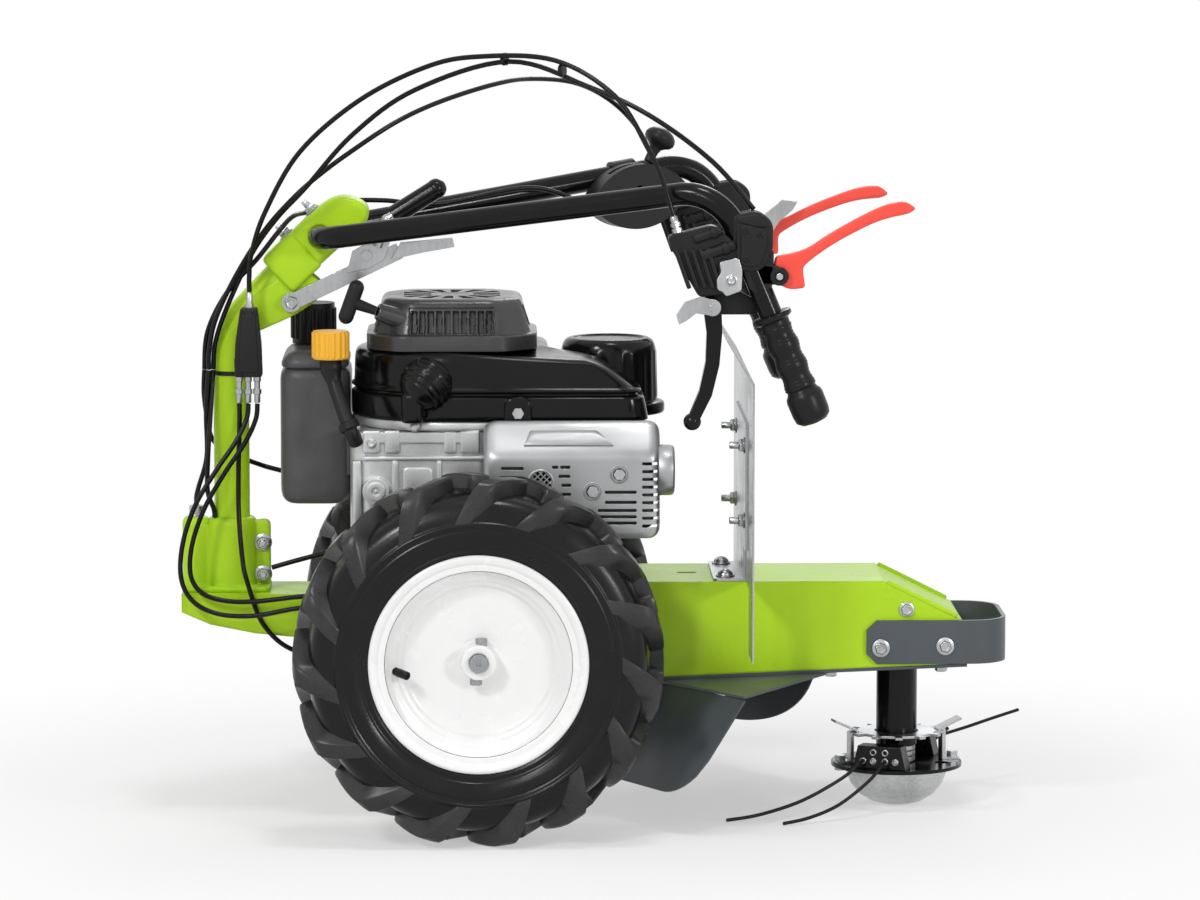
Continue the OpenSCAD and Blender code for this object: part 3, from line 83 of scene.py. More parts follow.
@dataclass
class Graph:
    """A shader node tree with short ways to add and join nodes."""

    tree: bpy.types.NodeTree

    def add(self, kind: str, values: Optional[Dict[str, Any]] = None, **settings: Any) -> bpy.types.Node:
        """Add a node.

        Args:
            kind: Node type without its prefix.
            values: Input values by socket name.
            settings: Properties of the node.

        Returns:
            The node.
        """
        made = self.tree.nodes.new(f"ShaderNode{kind}")
        for name, value in settings.items():
            setattr(made, name, value)
        self.fill(made, values or {})
        return made

    @staticmethod
    def fill(node: bpy.types.Node, values: Dict[str, Any]) -> None:
        """Set input values of a node."""
        for name, value in values.items():
            node.inputs[name].default_value = value

    def join(self, source: Socket, target: Socket) -> None:
        """Link two sockets."""
        self.tree.links.new(source, target)

    def mix(self, share: float, first: Socket, second: Socket) -> Socket:
        """Mix two values.

        Args:
            share: Share of the second value.
            first: First value.
            second: Second value.

        Returns:
            The mixed value.
        """
        node = self.add("Mix")
        node.inputs[0].default_value = share
        self.join(first, node.inputs[2])
        self.join(second, node.inputs[3])
        return node.outputs[0]

    def combine(self, operation: str, first: Socket, second: Socket) -> Socket:
        """Combine two values.

        Args:
            operation: What to do with them.
            first: First value.
            second: Second value.

        Returns:
            The result.
        """
        node = self.add("Math", operation=operation)
        self.join(first, node.inputs[0])
        self.join(second, node.inputs[1])
        return node.outputs["Value"]

    def blend(self, share: Socket, first: Socket, second: Socket, output: str) -> None:
        """Mix two shaders and show the result.

        Args:
            share: Share of the second shader.
            first: First shader.
            second: Second shader.
            output: Name of the output node.
        """
        node = self.add("MixShader")
        self.join(share, node.inputs["Fac"])
        self.join(first, node.inputs[1])
        self.join(second, node.inputs[2])
        self.join(node.outputs["Shader"], self.tree.nodes[output].inputs["Surface"])

    def seen_rays(self) -> Socket:
        """Tell camera, glossy and transmission rays from the rest.

        Returns:
            A socket that is 1 for those rays.
        """
        path = self.add("LightPath").outputs
        direct = self.combine("MAXIMUM", path["Is Camera Ray"], path["Is Glossy Ray"])
        return self.combine("MAXIMUM", direct, path["Is Transmission Ray"])


class Grain(Enum):
    """How the surface of a finish is broken up."""

    PAINT = "paint"
    CAST = "cast"
    MOULDED = "moulded"
    PLATED = "plated"
    TURNED = "turned"
    RUBBER = "rubber"


STRETCH = {Grain.PLATED: (1.0, 1.0, 0.12), Grain.TURNED: (1.0, 1.0, 2.6)}  # of the fine pattern


@dataclass(frozen=True)
class Finish:
    """A surface finish that makes one procedural material."""

    name: str
    colour: Point
    roughness: float
    grain: Grain
    tone: float
    fine: float
    bump: float
    metallic: float = 0.0
    coat: float = 0.0
    edge: float = 0.0012
    specular: float = 0.5

    def material(self) -> bpy.types.Material:
        """Make the material, or find it if it was made before.

        Returns:
            The node material of this finish.
        """
        found = bpy.data.materials.get(self.name)
        if found is not None:
            return found
        made = bpy.data.materials.new(self.name)
        made.use_nodes = True
        made.diffuse_color = (*self.colour, 1.0)
        graph = Graph(made.node_tree)
        shader = graph.tree.nodes["Principled BSDF"]
        graph.fill(shader, {"Metallic": self.metallic, "Specular IOR Level": self.specular})
        if self.coat > 0:
            graph.fill(shader, {"Coat Weight": self.coat, "Coat Roughness": 0.06})
        place = graph.add("TexCoord").outputs["Object"]
        cloud = graph.add("TexNoise", {"Scale": 22.0, "Detail": 4.0})
        graph.join(place, cloud.inputs["Vector"])
        slow = cloud.outputs["Fac"]
        speck = self._speck(graph, place)
        graph.join(self._colour(graph, slow, speck), shader.inputs["Base Color"])
        spread = graph.add("MapRange", {"From Min": 0.3, "From Max": 0.7,
                                        "To Min": max(self.roughness - 0.07, 0.03),
                                        "To Max": min(self.roughness + 0.09, 1.0)})
        graph.join(slow, spread.inputs["Value"])
        graph.join(spread.outputs["Result"], shader.inputs["Roughness"])
        graph.join(self._relief(graph, place, speck), shader.inputs["Normal"])
        return made

    def _speck(self, graph: Graph, place: Socket) -> Socket:
        """Add the fine pattern, drawn out where the grain asks for it.

        Args:
            graph: The material's nodes.
            place: Object coordinates.

        Returns:
            The factor socket of the pattern.
        """
        noise = graph.add("TexNoise", {"Scale": self.fine, "Detail": 3.0})
        if self.grain in STRETCH:
            stretch = graph.add("Mapping", {"Scale": STRETCH[self.grain]})
            graph.join(place, stretch.inputs["Vector"])
            place = stretch.outputs["Vector"]
        graph.join(place, noise.inputs["Vector"])
        return noise.outputs["Fac"]

    def _colour(self, graph: Graph, slow: Socket, speck: Socket) -> Socket:
        """Vary the base colour with the patterns.

        Args:
            graph: The material's nodes.
            slow: Slow pattern.
            speck: Fine pattern.

        Returns:
            The colour socket.
        """
        low = tuple(c * (1 - self.tone) for c in self.colour)
        high = tuple(min(c * (1 + self.tone) + 0.004 * self.tone, 1.0) for c in self.colour)
        ramp = graph.add("ValToRGB")
        for element, position, colour in zip(ramp.color_ramp.elements, (0.3, 0.7), (low, high)):
            element.position = position
            element.color = (*colour, 1.0)
        graph.join(graph.mix(0.35, slow, speck), ramp.inputs["Fac"])
        return ramp.outputs["Color"]

    def _relief(self, graph: Graph, place: Socket, speck: Socket) -> Socket:
        """Round the edges and add the fine relief of the grain.

        Args:
            graph: The material's nodes.
            place: Object coordinates.
            speck: Fine pattern.

        Returns:
            The normal socket.
        """
        height = speck
        if self.grain in (Grain.MOULDED, Grain.CAST):
            cells = graph.add("TexVoronoi", {"Scale": self.fine * 0.7})
            graph.join(place, cells.inputs["Vector"])
            height = graph.mix(0.5, speck, cells.outputs["Distance"])
        bump = graph.add("Bump", {"Strength": self.bump, "Distance": 0.0006})
        graph.join(height, bump.inputs["Height"])
        if self.edge > 0:
            rounding = graph.add("Bevel", {"Radius": self.edge}, samples=4)
            graph.join(rounding.outputs["Normal"], bump.inputs["Normal"])
        return bump.outputs["Normal"]


GREEN = Finish("lime_green_paint", (0.43, 0.69, 0.018), 0.32, Grain.PAINT, tone=0.04, fine=420.0, bump=0.04,
               edge=0.004, specular=0.22)
DARK = Finish("slate_grey_paint", (0.078, 0.088, 0.097), 0.36, Grain.PAINT, tone=0.08, fine=500.0, bump=0.08,
              edge=0.0015, specular=0.3)
ZINC = Finish("zinc_plate", (0.44, 0.45, 0.46), 0.3, Grain.PLATED, metallic=1.0, tone=0.2, fine=300.0,
              bump=0.06, edge=0.0008)
CAST = Finish("sand_cast_aluminium", (0.58, 0.585, 0.59), 0.4, Grain.CAST, metallic=0.8, tone=0.22,
              fine=900.0, bump=0.3, edge=0.0025)
BLACK_PAINT = Finish("black_enamel", (0.004, 0.004, 0.0045), 0.14, Grain.PAINT, tone=0.1, fine=500.0,
                     bump=0.04, edge=0.001, specular=0.2)
STEEL = Finish("machined_steel", (0.34, 0.35, 0.36), 0.28, Grain.TURNED, metallic=1.0, tone=0.16, fine=260.0,
               bump=0.05, edge=0.0006)
DOME_STEEL = Finish("polished_dome_steel", (0.5, 0.505, 0.51), 0.24, Grain.TURNED, metallic=1.0, tone=0.34,
                    fine=300.0, bump=0.06, edge=0.0)
GLOSS = Finish("gloss_black_moulding", (0.0035, 0.0035, 0.004), 0.17, Grain.PAINT, tone=0.1, fine=260.0,
               bump=0.03, edge=0.002, specular=0.22)
MOULDED = Finish("grained_black_plastic", (0.012, 0.012, 0.013), 0.4, Grain.MOULDED, tone=0.15, fine=900.0,
                 bump=0.2, specular=0.2)
COVER = Finish("satin_black_cover", (0.032, 0.032, 0.033), 0.27, Grain.MOULDED, tone=0.12, fine=900.0,
               bump=0.12, specular=0.55)
TANK = Finish("grained_tank_plastic", (0.075, 0.075, 0.078), 0.36, Grain.MOULDED, tone=0.2, fine=520.0,
              bump=0.45, edge=0.002, specular=0.3)
YELLOW = Finish("yellow_cap_plastic", (0.88, 0.46, 0.03), 0.36, Grain.PAINT, tone=0.05, fine=500.0, bump=0.05,
                edge=0.0015, specular=0.4)
RED = Finish("red_lever_plastic", (0.86, 0.075, 0.05), 0.32, Grain.PAINT, tone=0.04, fine=500.0, bump=0.04,
             edge=0.0015, specular=0.4)
MUFFLER = Finish("dull_muffler_steel", (0.1, 0.1, 0.105), 0.5, Grain.CAST, metallic=0.7, tone=0.2, fine=600.0,
                 bump=0.15)
SHEET = Finish("pressed_silver_sheet", (0.4, 0.405, 0.41), 0.36, Grain.CAST, metallic=0.75, tone=0.07,
               fine=1200.0, bump=0.08, edge=0.001)
IRON = Finish("flywheel_iron", (0.2, 0.2, 0.21), 0.55, Grain.CAST, metallic=0.8, tone=0.2, fine=600.0,
              bump=0.2)
RUBBER = Finish("grip_rubber", (0.008, 0.008, 0.009), 0.3, Grain.RUBBER, tone=0.15, fine=800.0, bump=0.14,
                edge=0.0008, specular=0.2)
TYRE = Finish("glossy_tyre_rubber", (0.0045, 0.0045, 0.0046), 0.24, Grain.RUBBER, tone=0.25, fine=420.0,
              bump=0.12, edge=0.0, specular=0.24)
# Lug rubber painted lighter than the carcass: a painted highlight that stands in for the shine on the lugs
LUG_PAINTED_HIGHLIGHT = Finish("dusty_tread_rubber", (0.026, 0.026, 0.0264), 0.3, Grain.RUBBER, tone=0.45, fine=420.0,
               bump=0.2, edge=0.0015, specular=0.32)
WHITE = Finish("white_rim_enamel", (0.86, 0.86, 0.855), 0.24, Grain.PAINT, tone=0.012, fine=420.0, bump=0.03,
               coat=0.2, edge=0.0)
SHEATH = Finish("black_cable_sheath", (0.005, 0.005, 0.006), 0.26, Grain.RUBBER, tone=0.12, fine=900.0,
                bump=0.06, edge=0.0, specular=0.2)
NYLON = Finish("black_nylon_line", (0.006, 0.006, 0.006), 0.34, Grain.RUBBER, tone=0.15, fine=900.0, bump=0.1,
               edge=0.0, specular=0.2)
BELT = Finish("belt_rubber", (0.02, 0.02, 0.02), 0.6, Grain.RUBBER, tone=0.2, fine=600.0, bump=0.2)


def paint_nodes(finish: Finish, nodes: Sequence[str]) -> None:
    """Give carried-over CAD nodes a finish.

    Args:
        finish: The finish to use.
        nodes: Names of the CAD nodes.
    """
    material = finish.material()
    for name in nodes:
        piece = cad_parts[name]
        if not piece.material_slots:
            piece.data.materials.append(material)
        for place in piece.material_slots:
            place.material = material
        LOG.info("node %s: %s", name, finish.name)


# Mesh helpers


def clamp(value: float) -> float:
    """Keep a share between 0 and 1."""
    return min(max(value, 0.0), 1.0)


def turns(count: int, shift: float = 0.0) -> List[float]:
    """Divide a full turn into equal steps."""
    return [2 * math.pi * (i + shift) / count for i in range(count)]


def hoop(middle: Vector, side: Vector, up: Vector, radius: float, count: int) -> List[Point]:
    """Lay points on a circle."""
    return [tuple(middle + (side * math.cos(t) + up * math.sin(t)) * radius) for t in turns(count)]


def rounded(start: Vector, corner: Vector, end: Vector, steps: int) -> List[Pair]:
    """Round one corner of an outline."""
    shares = [i / steps for i in range(steps + 1)]
    return [tuple(start * (1 - t) ** 2 + corner * (2 * t * (1 - t)) + end * t * t) for t in shares]


def rounded_profile(corners: Sequence[Pair], radius: float, steps: int) -> List[Pair]:
    """Round the corners of an open profile.

    Args:
        corners: Profile corners, ends included.
        radius: Largest rounding radius.
        steps: Steps per rounded corner.

    Returns:
        The profile with rounded corners.
    """
    out: List[Pair] = [corners[0]]
    for before, corner, after in zip(corners, corners[1:], corners[2:]):
        c = Vector(corner)
        a = Vector(before) - c
        b = Vector(after) - c
        reach = min(radius, a.length * 0.48, b.length * 0.48)
        out += rounded(c + a.normalized() * reach, c, c + b.normalized() * reach, steps)
    return out + [corners[-1]]


def smooth_route(points: Sequence[Point], steps: int = 8) -> List[Vector]:
    """Run a smooth curve through route points.

    Args:
        points: Route points in metres.
        steps: Curve steps per stretch.

    Returns:
        Points along the curve.
    """
    p = [Vector(q) for q in points]
    out: List[Vector] = []
    for i in range(len(p) - 1):
        a, b, c, d = p[max(i - 1, 0)], p[i], p[i + 1], p[min(i + 2, len(p) - 1)]
        for t in (j / steps for j in range(steps)):
            out.append(0.5 * (2 * b + (c - a) * t + (2 * a - 5 * b + 4 * c - d) * t * t
                              + (3 * b - a - 3 * c + d) * t * t * t))
    return out + [p[-1]]


def tube_rings(route: Sequence[Vector], radii: Sequence[float], sides: int) -> List[List[Point]]:
    """Make rings square to a route, without twist.

    Args:
        route: Points along the middle line.
        radii: Radius at each point.
        sides: Points per ring.

    Returns:
        One ring per route point.
    """
    rings: List[List[Point]] = []
    side = Vector()
    for i, point in enumerate(route):
        along = (route[min(i + 1, len(route) - 1)] - route[max(i - 1, 0)]).normalized()
        if side.length < 0.5:
            side = along.orthogonal().normalized()
        side = (side - along * side.dot(along)).normalized()
        rings.append(hoop(point, side, along.cross(side), radii[i], sides))
    return rings


class Along(Enum):
    """The direction in which an outline is drawn out."""

    Y = "y"
    Z = "z"

    def place(self, a: float, b: float, level: float) -> Point:
        """Put an outline point at a level."""
        return at(a, level, b) if self is Along.Y else at(a, b, level)


def rect(a0: float, b0: float, a1: float, b1: float, low: float,
         high: Optional[float] = None) -> List[Corner]:
    """Give the corners of a rectangle."""
    top = low if high is None else high
    return [(a0, b0, low), (a1, b0, low), (a1, b1, top), (a0, b1, top)]


def loop(corners: Sequence[Corner], steps: int = 5) -> List[Pair]:
    """Round the corners of a closed outline.

    Args:
        corners: Corner coordinates, each with its rounding reach.
        steps: Steps per rounded corner.

    Returns:
        The outline points.
    """
    out: List[Pair] = []
    for i, (x, y, radius) in enumerate(corners):
        if radius <= 0:
            out.append((x, y))
            continue
        c = Vector((x, y))
        a = Vector(corners[i - 1][:2]) - c
        b = Vector(corners[(i + 1) % len(corners)][:2]) - c
        start, end = (c + way.normalized() * min(radius, way.length * 0.49) for way in (a, b))
        out += rounded(start, c, end, steps)
    return out


def winding(outline: Sequence[Pair]) -> float:
    """Tell which way a closed outline runs."""
    return sum(a[0] * b[1] - b[0] * a[1] for a, b in zip(outline, [*outline[1:], outline[0]]))


def inset(outline: Sequence[Pair], depth: float) -> List[Pair]:
    """Move a closed outline inwards.

    Args:
        outline: The outline points.
        depth: Distance inwards.

    Returns:
        The moved outline, point by point.
    """
    turn = math.copysign(1.0, winding(outline))
    out: List[Pair] = []
    for i, point in enumerate(outline):
        b = Vector(point)
        into = (b - Vector(outline[i - 1])).normalized()
        away = (Vector(outline[(i + 1) % len(outline)]) - b).normalized()
        n1 = Vector((-into.y, into.x)) * turn
        n2 = Vector((-away.y, away.x)) * turn
        out.append(tuple(b + (n1 + n2) * (depth / max(1 + n1.dot(n2), 0.5))))
    return out


def shrink(corners: Sequence[Corner], depth: float) -> List[Corner]:
    """Move the sides of a closed outline inwards and fit its rounding.

    Args:
        corners: Corner coordinates, each with its rounding reach.
        depth: Distance inwards.

    Returns:
        The moved corners.
    """
    flat = [(x, y) for x, y, _ in corners]
    area = winding(flat)
    out: List[Corner] = []
    for i, (moved, (_, _, radius)) in enumerate(zip(inset(flat, depth), corners)):
        into = Vector(flat[i]) - Vector(flat[i - 1])
        away = Vector(flat[(i + 1) % len(flat)]) - Vector(flat[i])
        bend = (into.x * away.y - into.y * away.x) * area
        out.append((*moved, max(radius - depth, 0.15) if bend > 0 else radius + depth))
    return out


@dataclass
class Shape:
    """Vertices and faces that grow form by form and end as one mesh object."""

    points: List[Point] = field(default_factory=list)
    faces: List[Tuple[int, ...]] = field(default_factory=list)

    def ring_skin(self, rings: Sequence[Sequence[Point]], closed: bool = False, caps: bool = True,
                  round_ring: bool = True) -> None:
        """Skin a row of rings that have the same number of points.

        Args:
            rings: The rings in order.
            closed: Join the last ring to the first.
            caps: Fill the first and last ring of an open row.
            round_ring: Join the last point of each ring to its first.
        """
        base = len(self.points)
        count = len(rings[0])
        for ring in rings:
            self.points.extend(tuple(p) for p in ring)
        rows = len(rings) if closed else len(rings) - 1
        steps = count if round_ring else count - 1
        for i in range(rows):
            a = base + i * count
            b = base + ((i + 1) % len(rings)) * count
            for j in range(steps):
                k = (j + 1) % count
                self.faces.append((a + j, a + k, b + k, b + j))
        if caps and not closed:
            self.faces.append(tuple(base + j for j in reversed(range(count))))
            last = base + (len(rings) - 1) * count
            self.faces.append(tuple(last + j for j in range(count)))

    def lathe(self, start: Sequence[float], axis: Sequence[float], profile: Sequence[Pair],
              sides: int) -> None:
        """Turn a profile around a free line.

        Args:
            start: First point of the line, in metres.
            axis: Direction of the line.
            profile: Distance along the line and radius, in millimetres.
            sides: Steps around.
        """
        along = Vector(axis).normalized()
        side = along.orthogonal().normalized()
        up = along.cross(side)
        self.ring_skin([hoop(Vector(start) + along * (d / MM), side, up, r / MM, sides) for d, r in profile])

    def lathe_y(self, profile: Sequence[Pair], centre: Point, outward: float, segments: int) -> None:
        """Turn a closed profile around a line along Y.

        Args:
            profile: Radius and distance along the line, in metres.
            centre: Middle of the turned form.
            outward: -1 or 1, the direction along Y of positive distances.
            segments: Steps around.
        """
        rings = []
        for turn in turns(segments):
            rings.append([(centre[0] + r * math.sin(turn), centre[1] + outward * h,
                           centre[2] - r * math.cos(turn))
                          for r, h in profile])
        self.ring_skin(rings, closed=True)

    def slab(self, corners: Sequence[Corner], low: float, high: float, edge: float, along: Along = Along.Y,
             steps: int = 3) -> None:
        """Draw an outline out to a slab with round edges.

        Args:
            corners: Corners in millimetres, each with its rounding reach above 0.
            low: First level.
            high: Last level.
            edge: Edge radius.
            along: Drawing direction.
            steps: Rings per edge.
        """
        angles = [math.pi / 2 * i / steps for i in range(steps + 1)]
        rise = [(edge * (1 - math.sin(t)), edge * (1 - math.cos(t))) for t in angles]
        levels = [(d, low + h) for d, h in rise] + [(d, high - h) for d, h in reversed(rise)]
        self.ring_skin([[along.place(a, b, level) for a, b in loop(shrink(corners, d))]
                        for d, level in levels])

    def sheet(self, rows: Sequence[Sequence[Vector]], back: Vector) -> None:
        """Skin a bent sheet."""
        self.ring_skin([[at(*p) for p in row] + [at(*(p + back)) for p in reversed(row)] for row in rows])

    def bolt(self, place: Point, axis: Point, corner: float, head: float, washer: float = 0.0,
             stud: float = 0.0) -> None:
        """Build a hexagon head or nut with its washer and stud.

        Args:
            place: Middle of the seat, in millimetres.
            axis: Direction away from the seat.
            corner: Radius over the hexagon's corners.
            head: Height of the head over the seat.
            washer: Washer radius, or 0.
            stud: Height of the stud over the head, or 0.
        """
        start = at(*place)
        low = 1.6 if washer else 0.0
        if washer:
            self.lathe(start, axis, ((0, washer - 0.5), (0.4, washer), (1.2, washer), (low, washer - 0.5),
                                     (1.7, corner * 0.5)), 36)
        self.lathe(start, axis, ((low, corner * 0.96), (low + 0.5, corner), (head - 1.3, corner),
                                 (head, corner * 0.84), (head, corner * 0.62),
                                 (head - 0.7, corner * 0.52)), 6)
        if stud:
            self.lathe(start, axis, ((head - 1, 4), (head + stud - 1, 4), (head + stud, 3.2)), 20)

    def piece(self, name: str, finish: Finish, angle: float = 40.0) -> bpy.types.Object:
        """Make the mesh object.

        Args:
            name: Object name.
            finish: Its finish.
            angle: Edges sharper than this many degrees stay hard.

        Returns:
            The new object, linked to the scene.
        """
        mesh = bpy.data.meshes.new(name)
        mesh.from_pydata(self.points, [], self.faces)
        work = bmesh.new()
        work.from_mesh(mesh)
        bmesh.ops.remove_doubles(work, verts=work.verts, dist=1e-6)
        bmesh.ops.recalc_face_normals(work, faces=work.faces)
        work.to_mesh(mesh)
        work.free()
        for polygon in mesh.polygons:
            polygon.use_smooth = True
        mesh.set_sharp_from_angle(angle=math.radians(angle))
        mesh.materials.append(finish.material())
        made = bpy.data.objects.new(name, mesh)
        bpy.context.scene.collection.objects.link(made)
        LOG.info("piece %s: %d faces", name, len(mesh.polygons))
        return made


def carve(target: bpy.types.Object, cutter: bpy.types.Object, angle: float = 28.0) -> None:
    """Cut one mesh object out of another and remove the cutter.

    Args:
        target: The object that keeps the result.
        cutter: The object that is taken away.
        angle: Edges sharper than this many degrees stay hard.
    """
    step = target.modifiers.new("carve", "BOOLEAN")
    step.operation = "DIFFERENCE"
    step.solver = "EXACT"
    step.use_self = True
    step.object = cutter
    bpy.context.view_layer.update()
    seen = target.evaluated_get(bpy.context.evaluated_depsgraph_get())
    mesh = bpy.data.meshes.new_from_object(seen)
    mesh.set_sharp_from_angle(angle=math.radians(angle))
    target.modifiers.remove(step)
    target.data = mesh
    bpy.data.objects.remove(cutter)


def join_frame(made: bpy.types.Object, body: str, slot: str, *nodes: str) -> None:
    """Tie a piece to its body and hide the CAD nodes it stands for.

    Args:
        made: The piece.
        body: Body that carries it.
        slot: Not used.
        nodes: CAD nodes that it takes over.
    """
    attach(made, body)
    if nodes:
        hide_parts(*nodes)


# Studio


@dataclass
class Studio:
    """Camera, floor and soft light."""

    eye: Point = (-0.12283, -6.05708, 1.1087)
    aim: Point = (0.021525, 0.993058, -0.115637)
    lens: float = 162.574
    target: Point = (0.0, 0.0, 0.35)
    lamps: Tuple[Tuple[str, Point, float, float], ...] = (
        ("key", (-2.2, -3.2, 3.0), 0.7, 60.0),
        ("fill", (2.9, -3.4, 1.5), 0.6, 44.0),
        ("top", (0.2, -0.8, 3.8), 0.7, 32.0),
        ("back", (0.6, 3.4, 2.4), 1.2, 22.0),
        ("glint", (-1.1, -2.8, 1.7), 0.3, 8.0))

    @staticmethod
    def _hang(name: str, data: bpy.types.ID, place: Point, aim: Vector) -> bpy.types.Object:
        """Put a camera or lamp in place.

        Args:
            name: Object name.
            data: Camera or lamp data.
            place: Where it stands.
            aim: Direction of view.

        Returns:
            The object.
        """
        made = bpy.data.objects.new(name, data)
        made.location = place
        made.rotation_euler = aim.to_track_quat("-Z", "Y").to_euler()
        bpy.context.scene.collection.objects.link(made)
        return made

    def camera(self) -> None:
        """Place the camera at the photograph's viewing angle."""
        data = bpy.data.cameras.new("camera")
        data.sensor_width = 36.0
        data.lens = self.lens
        data.clip_end = 100.0
        bpy.context.scene.camera = self._hang("camera", data, self.eye, Vector(self.aim))

    def light(self) -> None:
        """Hang five soft lamps and a plain white world."""
        scene = bpy.context.scene
        scene.view_settings.view_transform = "Standard"
        for name, place, size, power in self.lamps:
            data = bpy.data.lights.new(name, "AREA")
            data.shape = "DISK"
            data.size = size
            data.energy = power
            self._hang(name, data, place, Vector(self.target) - Vector(place))
        world = bpy.data.worlds.new("studio")
        world.use_nodes = True
        graph = Graph(world.node_tree)
        white = (1.0, 1.0, 1.0, 1.0)
        light = graph.tree.nodes["Background"]
        graph.fill(light, {"Color": white, "Strength": 0.42})
        shown = graph.add("Background", {"Color": white, "Strength": 1.0})
        graph.blend(graph.seen_rays(), light.outputs["Background"], shown.outputs["Background"],
                    "World Output")
        scene.world = world

    @staticmethod
    def floor() -> None:
        """Lay a pale floor that keeps the shadow and fades to white."""
        shape = Shape()
        right, back = Vector((1.0, 0.0, 0.0)), Vector((0.0, 1.0, 0.0))
        shape.ring_skin([hoop(Vector(), right, back, radius, 64)
                         for radius in (0.001, 0.6, 1.2, 2.0, 4.0, 12.0, 60.0)], caps=False)
        finish = bpy.data.materials.new("pale_floor")
        finish.use_nodes = True
        graph = Graph(finish.node_tree)
        surface = graph.tree.nodes["Principled BSDF"]
        graph.fill(surface, {"Base Color": (0.9, 0.9, 0.9, 1.0), "Roughness": 0.9, "Specular IOR Level": 0.1})
        glow = graph.add("Emission", {"Strength": 1.0})
        length = graph.add("VectorMath", operation="LENGTH")
        graph.join(graph.add("TexCoord").outputs["Object"], length.inputs[0])
        fade = graph.add("MapRange", {"From Min": 0.35, "From Max": 1.15, "To Min": 0.45, "To Max": 1.0},
                         interpolation_type="SMOOTHSTEP")
        graph.join(length.outputs["Value"], fade.inputs["Value"])
        gate = graph.combine("MULTIPLY", fade.outputs["Result"], graph.seen_rays())
        graph.blend(gate, surface.outputs["BSDF"], glow.outputs["Emission"], "Material Output")
        made = shape.piece("floor", WHITE)
        made.data.materials.clear()
        made.data.materials.append(finish)


# Sub-assemblies


class Assembly:
    """A sub-assembly of the machine."""

    def build(self) -> None:
        """Make the meshes."""
        raise NotImplementedError

    def dress(self) -> None:
        """Finish the CAD nodes that are kept, if there are any."""


@dataclass
class Cutter(Assembly):
    """The line head with its loose ends of line."""

    spindle: Pair = (473.0, 0.0)
    line: float = 0.004
    routes: Tuple[Tuple[Point, ...], ...] = (
        ((-41.7, -52.5, 57), (-46, -63, 56), (-66, -78, 42), (-112, -97, 20), (-160, -112, 7),
         (-198, -124, 3)),
        ((-17.6, -62.2, 57), (-22, -73, 55), (-38, -91, 40), (-72, -113, 18), (-106, -132, 7),
         (-136, -146, 3)),
        ((17.6, 62.2, 57), (23, 75, 57), (52, 93, 60), (86, 113, 66), (120, 136, 73), (154, 162, 79)),
        ((41.7, 52.5, 57), (46, 64, 58), (54, 76, 63), (66, 88, 70)))

    def build(self) -> None:
        """Make the ends of line and the plated trim of the head."""
        self.lines()
        self.grommets()

    def lines(self) -> None:
        """Lay the ends of trimmer line as free cords."""
        for number, route in enumerate(self.routes):
            points = smooth_route([at(self.spindle[0] + x, self.spindle[1] + y, z) for x, y, z in route], 6)
            curve = bpy.data.curves.new(f"trimmer_line_{number}", "CURVE")
            curve.dimensions = "3D"
            curve.bevel_depth = self.line / 2
            curve.bevel_resolution = 4
            curve.use_fill_caps = True
            spline = curve.splines.new("POLY")
            spline.points.add(len(points) - 1)
            for place, p in zip(spline.points, points):
                place.co = (p.x, p.y, p.z, 1.0)
            curve.materials.append(NYLON.material())
            made = bpy.data.objects.new(curve.name, curve)
            bpy.context.scene.collection.objects.link(made)
            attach(made, "line_head")
            if number == 0:
                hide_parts("trimmer_lines")

    def dress(self) -> None:
        """Finish the pieces of the line head."""
        paint_nodes(STEEL, ("spindle_shaft", "spindle_bearings"))
        paint_nodes(ZINC, ("tooth_ring", "head_bolts"))
        paint_nodes(GLOSS, ("line_holders",))
        paint_nodes(BLACK_PAINT, ("spindle_tube", "cutter_disc"))
        paint_nodes(DOME_STEEL, ("skid_dome",))

    def grommets(self) -> None:
        """Make the plated eyes of the line holders and the collar under the tube."""
        shape = Shape()
        for turn in map(math.radians, (-112, 68)):
            out = Vector((math.cos(turn), math.sin(turn), 0.0))
            wide = Vector((-math.sin(turn), math.cos(turn), 0.0))
            for across, z in ((-19, 57), (-7, 57), (7, 57), (19, 57), (-7, 67), (7, 67)):
                p = out * 63.4 + wide * across
                shape.lathe(at(self.spindle[0] + p.x, self.spindle[1] + p.y, z), out,
                            ((0, 3.9), (0.8, 3.9), (1.3, 3.3), (1.3, 2.7), (0.8, 2.3), (-1.5, 2.3)), 20)
        for low in (49, 55.4, 61.8):
            shape.lathe(at(*self.spindle, low), UP,
                        ((0, 20.6), (0.6, 21.4), (5.2, 21.4), (5.8, 20.6), (6.0, 14)), 48)
        join_frame(shape.piece("head_collar_and_eyes", ZINC), "line_head", "zinc")


